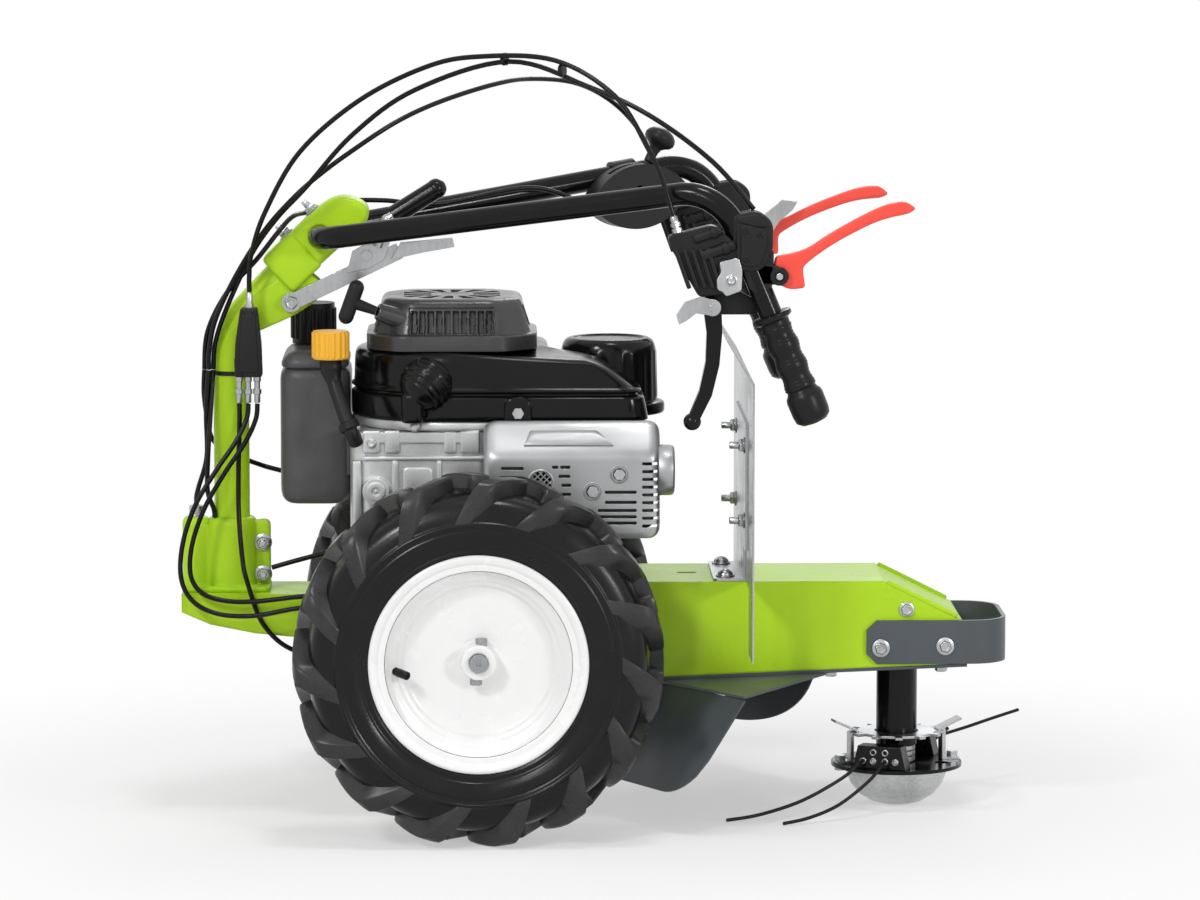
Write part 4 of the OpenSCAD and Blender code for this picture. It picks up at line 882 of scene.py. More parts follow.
@dataclass
class Wheels(Assembly):
    """Lugged tyres and white rims on the axle."""

    half_track: float = 0.230
    bead: float = 0.101
    rim: float = 0.120
    lugs: int = 15
    steps: int = 144
    # Foot and top of a lug, each as axial place and radius, then its shift and half width
    lug_stations: Rows = (
        (-9, 184, -9, 190, -3, 7), (-8, 184, -8, 199.5, -2.5, 9), (-6.5, 184, -6.5, 201.8, -2, 10),
        (0, 184.5, 0, 202, 0, 10.5), (14, 184, 14, 202, 8, 10.5), (26, 182.5, 26.5, 201.8, 17, 10.5),
        (34, 179, 37, 201, 25, 10.5), (39, 175.5, 44, 199.3, 30, 10.5), (42, 172, 48.6, 195.5, 34, 10.5),
        (44.5, 168, 51.4, 189, 39, 10.5), (46.3, 164, 52.8, 181, 45, 10.5), (47.5, 160, 53.6, 172, 51, 10.5),
        (48.4, 157, 53.9, 164, 57, 10.5), (49, 155, 53.9, 157.5, 61, 10.5),
        (49.2, 153.5, 53.0, 154.2, 63, 10.5))

    def build(self) -> None:
        """Make both tyres, their valve stems and both rims."""
        tyres, lugs, stems, rims = Shape(), Shape(), Shape(), Shape()
        for side in SIDES:
            centre = (AXLE_X, side * self.half_track, AXLE_Z)
            self._carcass(tyres, centre, side)
            for outer, inner in zip(turns(self.lugs), turns(self.lugs, 0.5)):
                self._lug(lugs, centre, side, 1.0, outer)
                self._lug(lugs, centre, side, -1.0, inner)
            self._stem(stems, centre, side)
            self._rim(rims, centre, side)
        # The lugs take the lighter rubber, which carries a painted highlight
        join_frame(lugs.piece("tyre_lugs", LUG_PAINTED_HIGHLIGHT, 34.0), "wheel_set", "tyre_rubber")
        join_frame(tyres.piece("tyres_lugged", TYRE, 34.0), "wheel_set", "tyre_rubber", "tyres")
        join_frame(stems.piece("valve_stems", RUBBER), "wheel_set", "tyre_rubber")
        join_frame(rims.piece("rims_pressed", WHITE, 50.0), "wheel_set", "white_paint", "rims")

    def _carcass(self, shape: Shape, centre: Point, side: float) -> None:
        """Turn the tyre body with its sidewall rings.

        Args:
            shape: Where the skin goes.
            centre: Middle of the tyre.
            side: -1 for the near tyre, 1 for the far one.
        """
        wall: List[Pair] = [(self.bead + 0.0004, 0.042), (self.rim - 0.002, 0.0425),
                            (self.rim + 0.003, 0.0465), (self.rim + 0.005, 0.0457),
                            (self.rim + 0.008, 0.0457), (self.rim + 0.010, 0.0480), (0.138, 0.0512),
                            (0.146, 0.0524), (0.1475, 0.0512), (0.1490, 0.0524), (0.1515, 0.0526),
                            (0.1525, 0.0538), (0.1550, 0.0538), (0.1565, 0.0516), (0.160, 0.0511),
                            (0.166, 0.0497), (0.172, 0.0474), (0.177, 0.0440), (0.1815, 0.0385),
                            (0.1845, 0.0300), (0.1865, 0.0180), (0.187, 0.0)]
        outer = rounded_profile(wall, 0.0025, 2)
        inner = [(r, -h) for r, h in reversed(outer[:-1])]
        shape.lathe_y(outer + inner + [(self.bead + 0.0004, 0.0)], centre, side, self.steps)

    def _lug(self, shape: Shape, centre: Point, side: float, half: float, turn: float) -> None:
        """Build one chevron lug that follows the curve of the tread.

        Args:
            shape: Where the skin goes.
            centre: Middle of the tyre.
            side: -1 for the near tyre, 1 for the far one.
            half: 1 for the outer half of the tread, -1 for the inner half.
            turn: Angle of the lug around the axle.
        """
        tread = 196  # radius at which the shifts are measured
        rings = []
        for foot_a, foot_r, top_a, top_r, shift, wide in self.lug_stations:
            ring = []
            for offset, level in ((-wide - 3.0, 0.0), (-wide - 0.6, 0.8), (-wide + 0.2, 0.93),
                                  (-wide + 1.6, 1.0), (0.0, 1.0), (wide - 1.6, 1.0), (wide - 0.2, 0.93),
                                  (wide + 0.6, 0.8), (wide + 3.0, 0.0)):
                angle = turn + (shift + offset) / tread
                radius = (foot_r + (top_r - foot_r) * level) / MM
                axial = half * (foot_a + (top_a - foot_a) * level) / MM
                ring.append((centre[0] + radius * math.sin(angle), centre[1] + side * axial,
                             centre[2] - radius * math.cos(angle)))
            rings.append(ring)
        shape.ring_skin(rings)

    def _stem(self, shape: Shape, centre: Point, side: float) -> None:
        """Build a valve stem with its cap.

        Args:
            shape: Where the skin goes.
            centre: Middle of the wheel.
            side: -1 for the near wheel, 1 for the far one.
        """
        start = Vector((centre[0] - 0.0935, centre[1] + side * 0.021, centre[2] - 0.009))
        axis = Vector((0.017, side * 0.020, -0.0035))
        shape.lathe(start, axis, ((0, 5.6), (2, 5.8), (4, 4.7), (11, 4.4), (11.5, 4.9), (22, 4.8),
                                  (25.5, 4.6), (26.2, 3.6), (26.2, 1.6), (24.5, 1.4)), 20)

    def _rim(self, shape: Shape, centre: Point, side: float) -> None:
        """Turn the pressed rim with its stepped rings and hub.

        Args:
            shape: Where the skin goes.
            centre: Middle of the wheel.
            side: -1 for the near wheel, 1 for the far one.
        """
        b, r = self.bead, self.rim
        corners = [(0.01005, -0.052), (0.017, -0.052), (0.017, 0.003), (0.076, 0.006), (0.083, 0.012),
                   (0.089, 0.013), (b - 0.005, 0.022), (b - 0.004, -0.046), (r - 0.004, -0.0465),
                   (r, -0.0445), (r - 0.002, -0.043), (b, -0.0425), (b, 0.0425), (r - 0.002, 0.043),
                   (r, 0.0445), (r - 0.003, 0.0468), (0.111, 0.0450), (0.1045, 0.0385), (0.1020, 0.0330),
                   (0.0965, 0.0285), (0.0900, 0.0265), (0.0880, 0.0225), (0.0835, 0.0205), (0.0815, 0.0165),
                   (0.0700, 0.0135), (0.0225, 0.0095), (0.0195, 0.0125), (0.0190, 0.0300), (0.0178, 0.0318),
                   (0.01005, 0.0320)]
        profile = rounded_profile(corners + [corners[0]], 0.0026, 3)[:-1]
        shape.lathe_y(profile, centre, side, self.steps)

    def dress(self) -> None:
        """Finish the shaft."""
        paint_nodes(STEEL, ("axle",))


@dataclass
class Chassis(Assembly):
    """Green frame, deck, guard and deflector."""

    # X, radius, bore and floor of the bore
    sockets: Rows = ((COLUMN_X, 28.0, 20.05, 254.0), (POST_X, 16.0, 5.05, 260.0))
    flange: Outline = ((-257, 250, 4), (-234, 250, 8), (-234, 327, 9), (-257, 324, 4))
    plate: Outline = ((203, -74, 2), (290, -215, 5), (387, -75, 3), (387, 75, 3), (290, 215, 5), (203, 74, 2))
    lip: Outline = ((454.7, 260.4, 1), (533.3, 221.1, 1), (535.8, 226.0, 2), (457.2, 265.3, 2))
    # X, distance from the middle, and height
    deck_bolts: Rows = ((449, 79.5, 189), (521, 79.5, 191), (478, 75, 232))
    plate_rise: float = 0.0415
    wing_corner: float = 48.0
    wing_bulge: float = 9.0

    def build(self) -> None:
        """Make the column base, the deflector, the lips of the deck and the bolts."""
        self.base()
        self.deflector()
        self.lips()
        self.bolts()

    def base(self) -> None:
        """Make the clamshell that holds the column and the lock post."""
        shape = Shape()
        for x, outer, bore, floor in self.sockets:
            wall = ((0.0, 248.0), (outer + 0.6, 248.0), (outer + 0.6, 252.0), (outer, 258.0), (outer, 322.0),
                    (outer - 0.8, 326.0), (outer - 3.2, 329.0), (outer - 6.0, 330.0), (bore, 330.0),
                    (bore, floor), (0.0, floor))
            shape.ring_skin([[at(x + r * math.cos(t), r * math.sin(t), z) for r, z in wall]
                             for t in turns(72)],
                            closed=True, round_ring=False)
        for side in SIDES:
            shape.slab(self.flange, *sorted((side * 1.2, side * 9.0)), 2.0)
            shape.slab(rect(-313, 250, -294, 322, 3), *sorted((side * 5.2, side * 13.0)), 2.4)
        shape.slab(rect(-332, -38, -234, 38, 12), 248, 253.6, 1.6, Along.Z)
        join_frame(shape.piece("column_base_clamshell", GREEN, 45.0), "chassis", "green_paint", "column_base")

    def deflector(self) -> None:
        """Make the pressed deflector: plate, back wall, bulged wings and the far apron."""
        shape = Shape()
        plan = loop(self.plate)
        shape.ring_skin([[at(x, y, 152.9 - drop + (x - 205) * self.plate_rise) for x, y in plan]
                         for drop in (2.5, 0.0)])
        fall = Vector((-0.52, 0.0, -0.854))
        shape.sheet([[Vector((204.4, y, 152.4)) + fall * d for d in (0.0, 60.0, 124.0)]
                     for y in (-73.0, 0.0, 73.0)],
                    Vector((2.0, 0.0, -1.2)))
        for side in SIDES:
            crease = Vector((85.0, side * 143.0, 0.0))
            way = crease.normalized()
            out = way.cross(fall).normalized() * side
            rows = []
            for i in range(33):
                c = crease.length * i / 32
                turn = max(c - crease.length + self.wing_corner, 0.0)
                deep = 77.0 + math.sqrt(max(self.wing_corner ** 2 - turn ** 2, 0.0))
                start = Vector((205.0, side * 72.0, 152.4)) + way * c
                bulge = self.wing_bulge * math.sin(math.pi * i / 32)
                rows.append([start + fall * (deep * j / 16) + out * (bulge * math.sin(math.pi * j / 16))
                             for j in range(17)])
            shape.sheet(rows, out * -2.5)
        rows = []
        for i in range(25):
            share = i / 24
            x, y = 290.0 + 97.0 * share, 215.0 - 140.0 * share
            high = 151.0 + (x - 205.0) * self.plate_rise
            deep = 2.0 + 90.0 * math.sqrt(max(1.0 - share ** 2.4, 0.0))
            rows.append([Vector((x, y, high - deep * j / 8)) for j in range(9)])
        shape.sheet(rows, Vector((-2.0, -1.4, 0.0)))
        join_frame(shape.piece("deflector_pressed", DARK, 40.0), "chassis", "dark_paint", "deflector")

    def lips(self) -> None:
        """Make the folded lips along the slope of the deck."""
        shape = Shape()
        for side in SIDES:
            shape.slab(self.lip, *sorted((side * 71.4, side * 75.15)), 0.8)
        join_frame(shape.piece("deck_slope_lips", GREEN, 40.0), "chassis", "green_paint")

    def bolts(self) -> None:
        """Make the bolts of frame, guard, bumper, belly plate and column base, and the post's ferrule."""
        shape = Shape()
        for side in SIDES:
            shape.lathe(at(276, side * 52, 267), UP,
                        ((0, 10.4), (1.0, 10.8), (1.8, 10.2), (2.0, 8.8), (4.6, 8.0),
                         (6.8, 5.6), (7.8, 3.2), (6.6, 2.8)), 32)
            for z in (336, 420):
                shape.bolt((295, side * 100, z), REAR, 7.5, 7, 9.0, 10)
                shape.bolt((300, side * 100, z), FRONT, 7.5, 6)
            for x, y, z in self.deck_bolts:
                shape.bolt((x, side * y, z), (0, side, 0), 7.0, 6.4, 10.0 if y > 76 else 8.6)
            for x, z in ((394, 160.8), (518, 165.9)):
                shape.bolt((x, side * 61, z), DOWN, 7.0, 6)
        for z in (265, 301):
            shape.bolt((-242.2, -9, z), NEAR, 7.4, 7, 10.2, 3)
        shape.lathe(at(POST_X, 0, 330.2), UP,
                    ((0, 8.5), (1, 8.5), (1.6, 7.4), (3.2, 7.4), (3.8, 8.3), (11, 8.3), (12, 7.4)), 32)
        join_frame(shape.piece("frame_bolts_hex", ZINC), "chassis", "zinc", "frame_bolts")

    def dress(self) -> None:
        """Finish the frame's pieces."""
        paint_nodes(GREEN, ("main_frame",))
        paint_nodes(DARK, ("belly_plate", "bumper"))
        paint_nodes(ZINC, ("guard_plate", "guard_bracket", "lock_pin"))
        paint_nodes(CAST, ("gearbox",))
        paint_nodes(STEEL, ("gearbox_pulley", "trimmer_idler", "traction_idler"))
        paint_nodes(BELT, ("trimmer_belt", "traction_belt"))


class Wall(Enum):
    """Kinds of wall of the starter cover."""

    PLAIN = 0
    PANEL = 1
    SLOTS = 2
    VANES = 3


@dataclass
class Engine(Assembly):
    """Vertical-shaft engine with its covers."""

    filter_at: Pair = (148.0, 62.0)
    shield_bolts: Tuple[Pair, ...] = ((125.5, 375.2), (155, 394))
    window: Pair = (68.5, 385)
    # Radius and height, in metres
    canister_profile: Profile = (
        (0.0, 0.440), (0.0635, 0.440), (0.0635, 0.453), (0.0545, 0.4545), (0.0535, 0.514), (0.0505, 0.522),
        (0.045, 0.5255), (0.0405, 0.5255), (0.039, 0.5235), (0.0, 0.5235))
    # Height, inset and right end of the cowl, outside and inside
    cowl_levels: Rows = (
        (523, 15, 122), (522.5, 10, 128), (520.8, 6.8, 135), (517, 5, 143), (511, 4.2, 152), (500, 3.7, 163),
        (490, 3.4, 171), (485.5, 3.2, 174), (484, 2.2, 177), (482.5, 0.4, 180), (480.8, 0.2, 181),
        (479.6, 1.4, 181), (478.4, 4.4, 180), (476.4, 4.6, 180.5), (474.8, 2.0, 182), (473.4, 0.3, 183.5),
        (472, 0, 184), (455, 0, 187.5), (449.2, 0.2, 188.5), (448.2, 1.0, 188), (448, 2.6, 187))
    cowl_inside: Rows = ((448, 5.6, 184), (470, 6, 180), (486, 8, 170), (510, 9, 146), (517, 13, 130),
                         (519, 20, 116))
    # Height, half width and kind of wall
    recoil_levels: Rows = (
        (523.2, 93.5, 0), (524.2, 95, 0), (539.5, 95, 0), (541, 94, 0), (541.6, 91, 0), (542, 88.6, 1),
        (542.6, 88.3, 1), (543.2, 88, 2), (552, 85.4, 2), (560, 83, 2), (567, 81, 2), (567.6, 80.8, 1),
        (571, 79.6, 1), (571.6, 79.2, 0), (575, 78, 0), (577.6, 76, 0), (579.2, 73.4, 0), (580, 69, 0),
        (580, 57, 0), (580, 54, 0), (580, 53.5, 3), (580, 24, 3), (580, 23.5, 0), (580, 20, 0),
        (579.4, 18, 0), (579.4, 0.4, 0))
    # Y, left, right, low and high side, and rounding, outside and inside
    shield_levels: Rows = (
        (-152, 18, 187, 330, 411, 8), (-151.3, 13, 192, 326, 414, 10), (-149.4, 9.5, 196, 323.6, 417.4, 12),
        (-146, 7, 198.5, 322.4, 422, 13), (-141, 6.2, 199.6, 322, 428.4, 14), (-135, 6, 200, 322, 436, 14),
        (-129, 6, 200, 322, 444, 15), (-125.6, 6, 200, 322, 448, 15), (-122, 6, 200, 322, 450, 15),
        (-117.8, 6, 200, 322, 450, 15))
    shield_inside: Rows = (
        (-117.8, 8, 198, 324, 448, 13), (-124, 8, 198, 324, 446.6, 13), (-128, 8, 198, 324, 442.4, 13),
        (-141, 8.2, 197.6, 324, 425.6, 12), (-146, 9.4, 196, 325, 419.4, 11), (-149.8, 15, 190, 328, 412, 8))
    # Left and right end of a slot, and its height
    slot_rows: Rows = (
        (25, 50, 400.7), (24, 48, 390.6), (81, 88, 402), (90, 101, 402), (88, 101, 392), (91, 102, 382),
        (91, 102, 372), (139, 174, 374.2), (139, 174, 363), (131, 174, 354), (131, 174, 347), (131, 174, 340),
        (24, 48, 380), (24, 60, 370), (24, 60, 360), (24, 60, 350), (24, 60, 340), (70, 120, 354),
        (70, 120, 345))
    # Height and inset
    tank_levels: Profile = (
        (348, 14), (348.8, 9), (351.5, 4.6), (356, 1.6), (362, 0.3), (370, 0), (488, 0), (494, 0.8),
        (498, 3.0), (499.8, 6.0), (500.2, 7.2), (500.6, 6.0), (501.4, 2.6), (503, 1.4), (507, 1.6),
        (512, 4.2), (516, 8.6), (518.6, 13.5), (519.8, 19.0))

    def build(self) -> None:
        """Make the covers, the tank and the trim of the engine."""
        self.canister()
        self.cowl()
        self.recoil()
        self.muffler()
        self.shield()
        self.shield_trim()
        self.tank()
        self.filler()
        self.block_trim()

    def canister(self) -> None:
        """Make the fluted filter canister."""
        shape = Shape()
        centre = at(*self.filter_at, 0)
        profile = rounded_profile(self.canister_profile, 0.004, 4)
        rings = []
        flutes = 24
        for turn in turns(192):
            flute = 0.0016 * (0.5 + 0.5 * math.cos(flutes * turn)) ** 2
            ring = []
            for r, h in profile:
                share = clamp((h - 0.4555) / 0.004) * clamp((0.513 - h) / 0.006)
                reach = r + flute * share if r > 0.05 else r
                ring.append((centre[0] + reach * math.cos(turn), centre[1] + reach * math.sin(turn), h))
            rings.append(ring)
        shape.ring_skin(rings, closed=True, round_ring=False)
        join_frame(shape.piece("filter_canister", GLOSS, 50.0), "chassis", "black_gloss", "air_filter")

    @staticmethod
    def _plan() -> List[Pair]:
        """Give the outline of the cowl from above.

        Returns:
            Outline points, starting on the near side.
        """
        plan = loop([(CRANK_X, -113, 0), (189, -113, 26), (189, -5, 22), (84, -5, 8), (84, 113, 30),
                     (CRANK_X, 113, 0)])
        for i in range(1, 40):
            turn = math.pi / 2 + math.pi * i / 40
            plan.append((CRANK_X + 113 * math.cos(turn), 113 * math.sin(turn)))
        return plan

    def cowl(self) -> None:
        """Make the gloss cowl with its ledge, ribbed dome and bosses."""
        shape = Shape()
        plan = self._plan()
        corner = 84  # where the arm to the right begins
        rings = []
        for z, depth, right in (*self.cowl_levels, *self.cowl_inside):
            share = (right - corner) / 105
            ring = []
            for x, y in inset(plan, depth):
                x = x if x < corner else corner + (x - corner) * share
                ring.append(at(x, y, z - 0.17 * max(x - 72, 0.0) * max(z - 484, 0.0) / 39))
            rings.append(ring)
        shape.ring_skin(rings)
        self._dome(shape)
        shape.slab(rect(-85, -128, -60, -100, 11, 2), 447.5, 480, 4, Along.Z)
        shape.slab(rect(29, 449, 59, 476, 3, 13), -118.6, -106, 2.5)
        join_frame(shape.piece("cowl_moulded", GLOSS, 50.0), "chassis", "black_gloss", "cowl")

    @staticmethod
    def _dome(shape: Shape) -> None:
        """Build the ribbed dome at the near left of the cowl.

        Args:
            shape: Where the skin goes.
        """
        axis = Vector((-0.55, -0.55, -0.62)).normalized()
        side = axis.orthogonal().normalized()
        up = axis.cross(side)
        middle = Vector((-57, -106, 489))
        rings = []
        for i in range(61):
            polar = math.radians(2 + 176 * i / 60)
            radius = 29.0 + (0.9 * math.sin(polar * 26) if 0.9 < polar < 2.3 else 0.0)
            ring = hoop(middle + axis * (math.cos(polar) * radius), side, up, math.sin(polar) * radius, 64)
            rings.append([at(*p) for p in ring])
        shape.ring_skin(rings)

    def recoil(self) -> None:
        """Make the slotted starter cover with flat sides and cut corners."""
        shape = Shape()
        shape.ring_skin([[self._recoil_point(turn, z, half, Wall(kind)) for turn in turns(720, 0.5)]
                         for z, half, kind in self.recoil_levels])
        start = Vector(at(-82, -70, 557))
        shape.lathe(start, Vector(at(-112.2, -78, 567.9)) - start, ((0, 12), (14, 11), (28, 9.8), (30.4, 9.6),
                                                                    (32, 8.4), (32, 5.4), (26, 5.2)), 28)
        join_frame(shape.piece("recoil_cover_slotted", COVER, 34.0), "chassis", "black_gloss", "recoil_cover")

    @staticmethod
    def _recoil_point(turn: float, z: float, half: float, kind: Wall) -> Point:
        """Find one point of the starter cover.

        Args:
            turn: Angle around the crank line.
            z: Height of the ring.
            half: Distance of the flat sides from the crank line.
            kind: Kind of wall.

        Returns:
            The point in metres of the row frame.
        """
        c, n = math.cos(turn), math.sin(turn)
        panel, pitch, power = 47, 9.2, 28  # half width of a panel, step of its slots, sharpness of corners
        flat = half / max(abs(c), abs(n))
        cut = 1.62 * half / (abs(c) + abs(n))
        reach = (flat ** -power + cut ** -power) ** (-1 / power)
        x, y = reach * c, reach * n
        across = x if abs(n) > abs(c) else y
        sunk = 0.0
        if kind in (Wall.PANEL, Wall.SLOTS) and abs(across) < panel:
            sunk = 3.0
            if kind is Wall.SLOTS and 0.17 < ((across + 46) / pitch) % 1.0 < 0.83 and abs(across) < 46:
                sunk = 10.0
        if kind is Wall.VANES and (turn * 14 / math.pi) % 2.0 < 1.15:
            z -= 5.0
        if abs(n) > abs(c):
            y -= math.copysign(sunk, n)
        else:
            x -= math.copysign(sunk, c)
        return at(CRANK_X + x, y, z)

    def muffler(self) -> None:
        """Make the muffler behind the shield."""
        can = Shape()
        can.slab([(16, 332, 16), (193, 332, 12), (193, 408, 12), (16, 408, 16)], -142, -74, 6)
        can.lathe(at(80, -76, 380), FAR, ((0, 15), (27.5, 15)), 24)
        join_frame(can.piece("muffler_can", MUFFLER, 40.0), "chassis", "muffler_steel", "muffler")

    def shield(self) -> None:
        """Make the pressed shield with its slots."""
        skin = Shape()
        skin.ring_skin([[at(a, y, b) for a, b in loop(rect(x0, z0, x1, z1, r))]
                        for y, x0, x1, z0, z1, r in (*self.shield_levels, *self.shield_inside)])
        made = skin.piece("shield_pressed", SHEET, 35.0)
        carve(made, self._slots())
        join_frame(made, "chassis", "silver_sheet", "muffler_shield")

    def shield_trim(self) -> None:
        """Make the raised panel, the outlet, the bolts and the window ring of the shield."""
        trim = Shape()
        low, high = (-146.2, 422.2), (-131.4, 441.4)
        rings = []
        for depth, lift in ((0.0, -0.6), (0.6, 1.2), (3.0, 2.4), (8.0, 2.7)):
            ring = []
            for x, t in loop([(50, 0.12, 0.0), (149, 0.12, 0.0), (131, 0.95, 0.0), (57, 0.95, 0.0)]):
                mid = 100 if t < 0.5 else 94
                x += math.copysign(depth, mid - x)
                t += math.copysign(depth / 26, 0.54 - t)
                y, z = (a + (b - a) * t for a, b in zip(low, high))
                ring.append(at(x, y - lift * 0.79, z + lift * 0.61))
            rings.append(ring)
        trim.ring_skin(rings)
        trim.lathe(at(198, -133, 396.7), FRONT, ((0, 27), (2, 28), (13, 28), (16, 27.2), (17.6, 25), (18, 22),
                                                 (17.6, 19), (12, 18)), 48)
        for x, z in self.shield_bolts:
            trim.lathe(at(x, -149.4, z), NEAR, ((0, 10.8), (2.0, 10.8), (3.2, 10.2), (3.4, 9.4), (2.8, 8.6),
                                                (1.4, 8.0), (1.2, 4.0)), 40)
        trim.lathe(at(self.window[0], -149.6, self.window[1]), NEAR,
                   ((1.6, 15.4), (2.6, 15.2), (3.4, 14.2), (3.4, 13.0), (2.6, 12.2), (1.6, 12.0)), 48)
        join_frame(trim.piece("shield_trim", SHEET, 35.0), "chassis", "silver_sheet")
        seats = Shape()
        for x, z in self.shield_bolts:
            seats.lathe(at(x, -143, z), NEAR, ((0, 8.2), (7.4, 8.2), (8.2, 7.6)), 32)
        join_frame(seats.piece("shield_bolt_seats", MUFFLER), "chassis", "muffler_steel")

    def _slots(self) -> bpy.types.Object:
        """Make the cutter for the slots, the mesh window and the bolt holes of the shield.

        Returns:
            The cutter object.
        """
        shape = Shape()
        half = 1.7  # of the width of a slot
        for x0, x1, z in self.slot_rows:
            shape.slab(rect(x0, z - half, x1, z + half, 1.6), -156, -144, 0.05)
        for i in range(9):
            z = 405.5 - 8.6 * i
            shape.slab(rect(180, z - half, 206, z + half, 1.6), -156, -137 + 2 * (i % 2), 0.05)
        for i in range(-3, 4):
            for j in range(-3, 4):
                x, z = self.window[0] + (i + j) * 3.3, self.window[1] + (i - j) * 3.3
                if math.hypot(x - self.window[0], z - self.window[1]) < 10.8:
                    shape.slab([(x, z - 2.5, 0.3), (x + 2.5, z, 0.3), (x, z + 2.5, 0.3), (x - 2.5, z, 0.3)],
                               -156, -146, 0.02, steps=1)
        for x, z in self.shield_bolts:
            shape.lathe(at(x, -144, z), NEAR, ((0, 7), (12, 7)), 24)
        return shape.piece("shield_slots", SHEET)

    def tank(self) -> None:
        """Make the soft moulded fuel tank with its seam and neck."""
        shape = Shape()
        plan = loop(rect(-221, -50, -143, 100, 26), 8)
        shape.ring_skin([[at(x, y, z) for x, y in inset(plan, depth)] for z, depth in self.tank_levels])
        shape.lathe(at(-186, 56, 510), UP, ((0, 24), (6, 22), (9, 20.4), (10.2, 20), (25.4, 20), (26, 19.4),
                                            (26, 16.4), (4, 16.4)), 40)
        shape.slab([(-152, 380, 4), (-142.5, 380, 2), (-142.5, 446, 2), (-152, 446, 4)], -40, 90, 2)
        join_frame(shape.piece("fuel_tank_moulded", TANK, 45.0), "chassis", "black_plastic", "fuel_tank")

    def filler(self) -> None:
        """Make the bent oil filler pipe with its collar."""
        shape = Shape()
        route = smooth_route([at(-163, -82, 514.8), at(-163, -82, 507), at(-159.5, -86, 490),
                              at(-149, -101, 460), at(-140, -112, 438), at(-134, -106, 424)])
        radii = [0.008 + 0.0042 * clamp((p.z - 0.49) / 0.014) for p in route]
        shape.ring_skin(tube_rings(route, radii, 28))
        shape.lathe(route[28], route[34] - route[28], ((0, 8.6), (1.6, 11.4), (9, 11.4), (10.6, 8.6)), 32)
        join_frame(shape.piece("oil_filler_pipe", MOULDED, 40.0), "chassis", "black_plastic", "oil_tube")

    def block_trim(self) -> None:
        """Make the gasket flange, the ribs and the bosses of the engine block."""
        shape = Shape()
        plan = [(CRANK_X + 112 * math.cos(t), 112 * math.sin(t))
                for t in (math.pi / 2 + math.pi * i / 36 for i in range(37))]
        plan += loop([(62, -112, 10), (62, 112, 10)], 6)
        shape.ring_skin([[at(x, y, z) for x, y in inset(plan, depth)] for depth, z in
                         ((10, 437), (1.4, 437), (0.4, 438), (0, 440), (0, 445), (0.6, 446.8), (2.0, 447.6),
                          (10, 447.6))], closed=True)
        for x0, x1 in ((-128, -108), (-104, -86), (-38, -24), (-20, 2)):
            shape.slab(rect(x0, 412, x1, 438, 4, 2), -109.6, -101, 2)
        shape.slab(rect(-128, 404, 12, 410, 3), -108.4, -101, 2)
        for x0, x1, low in ((-139, -129, 330), (-96, -88, 300), (-46, -40, 330), (8, 20, 300)):
            shape.slab(rect(x0, low, x1, 405, 3), -108.6, -101, 2.4)
        shape.slab(rect(-84, 330, -50, 398, 8), -107, -101, 2.4)
        for x, y, z, r in ((-113, -113, 371, 10.6), (-60, -111, 312, 7.6)):
            shape.lathe(at(x, y, z), NEAR,
                        ((0, r), (2.6, r), (3.4, r - 0.8), (3.4, 4.6), (1.4, 4.2), (1.4, 2.2), (2.6, 1.8)), 36)
        for x, z in ((-136, 443), (-70, 443), (20, 443), (-118, 425)):
            shape.bolt((x, -110.5, z - 1), NEAR, 4.6, 4.0, 5.6)
        join_frame(shape.piece("engine_block_trim", CAST, 40.0), "chassis", "cast_aluminium")

    def dress(self) -> None:
        """Finish the engine's pieces."""
        paint_nodes(CAST, ("crankcase",))
        paint_nodes(MOULDED, ("fuel_cap", "pull_handle"))
        paint_nodes(YELLOW, ("oil_cap",))
        paint_nodes(ZINC, ("engine_bolts",))
        paint_nodes(STEEL, ("crankshaft",))
        paint_nodes(IRON, ("flywheel",))


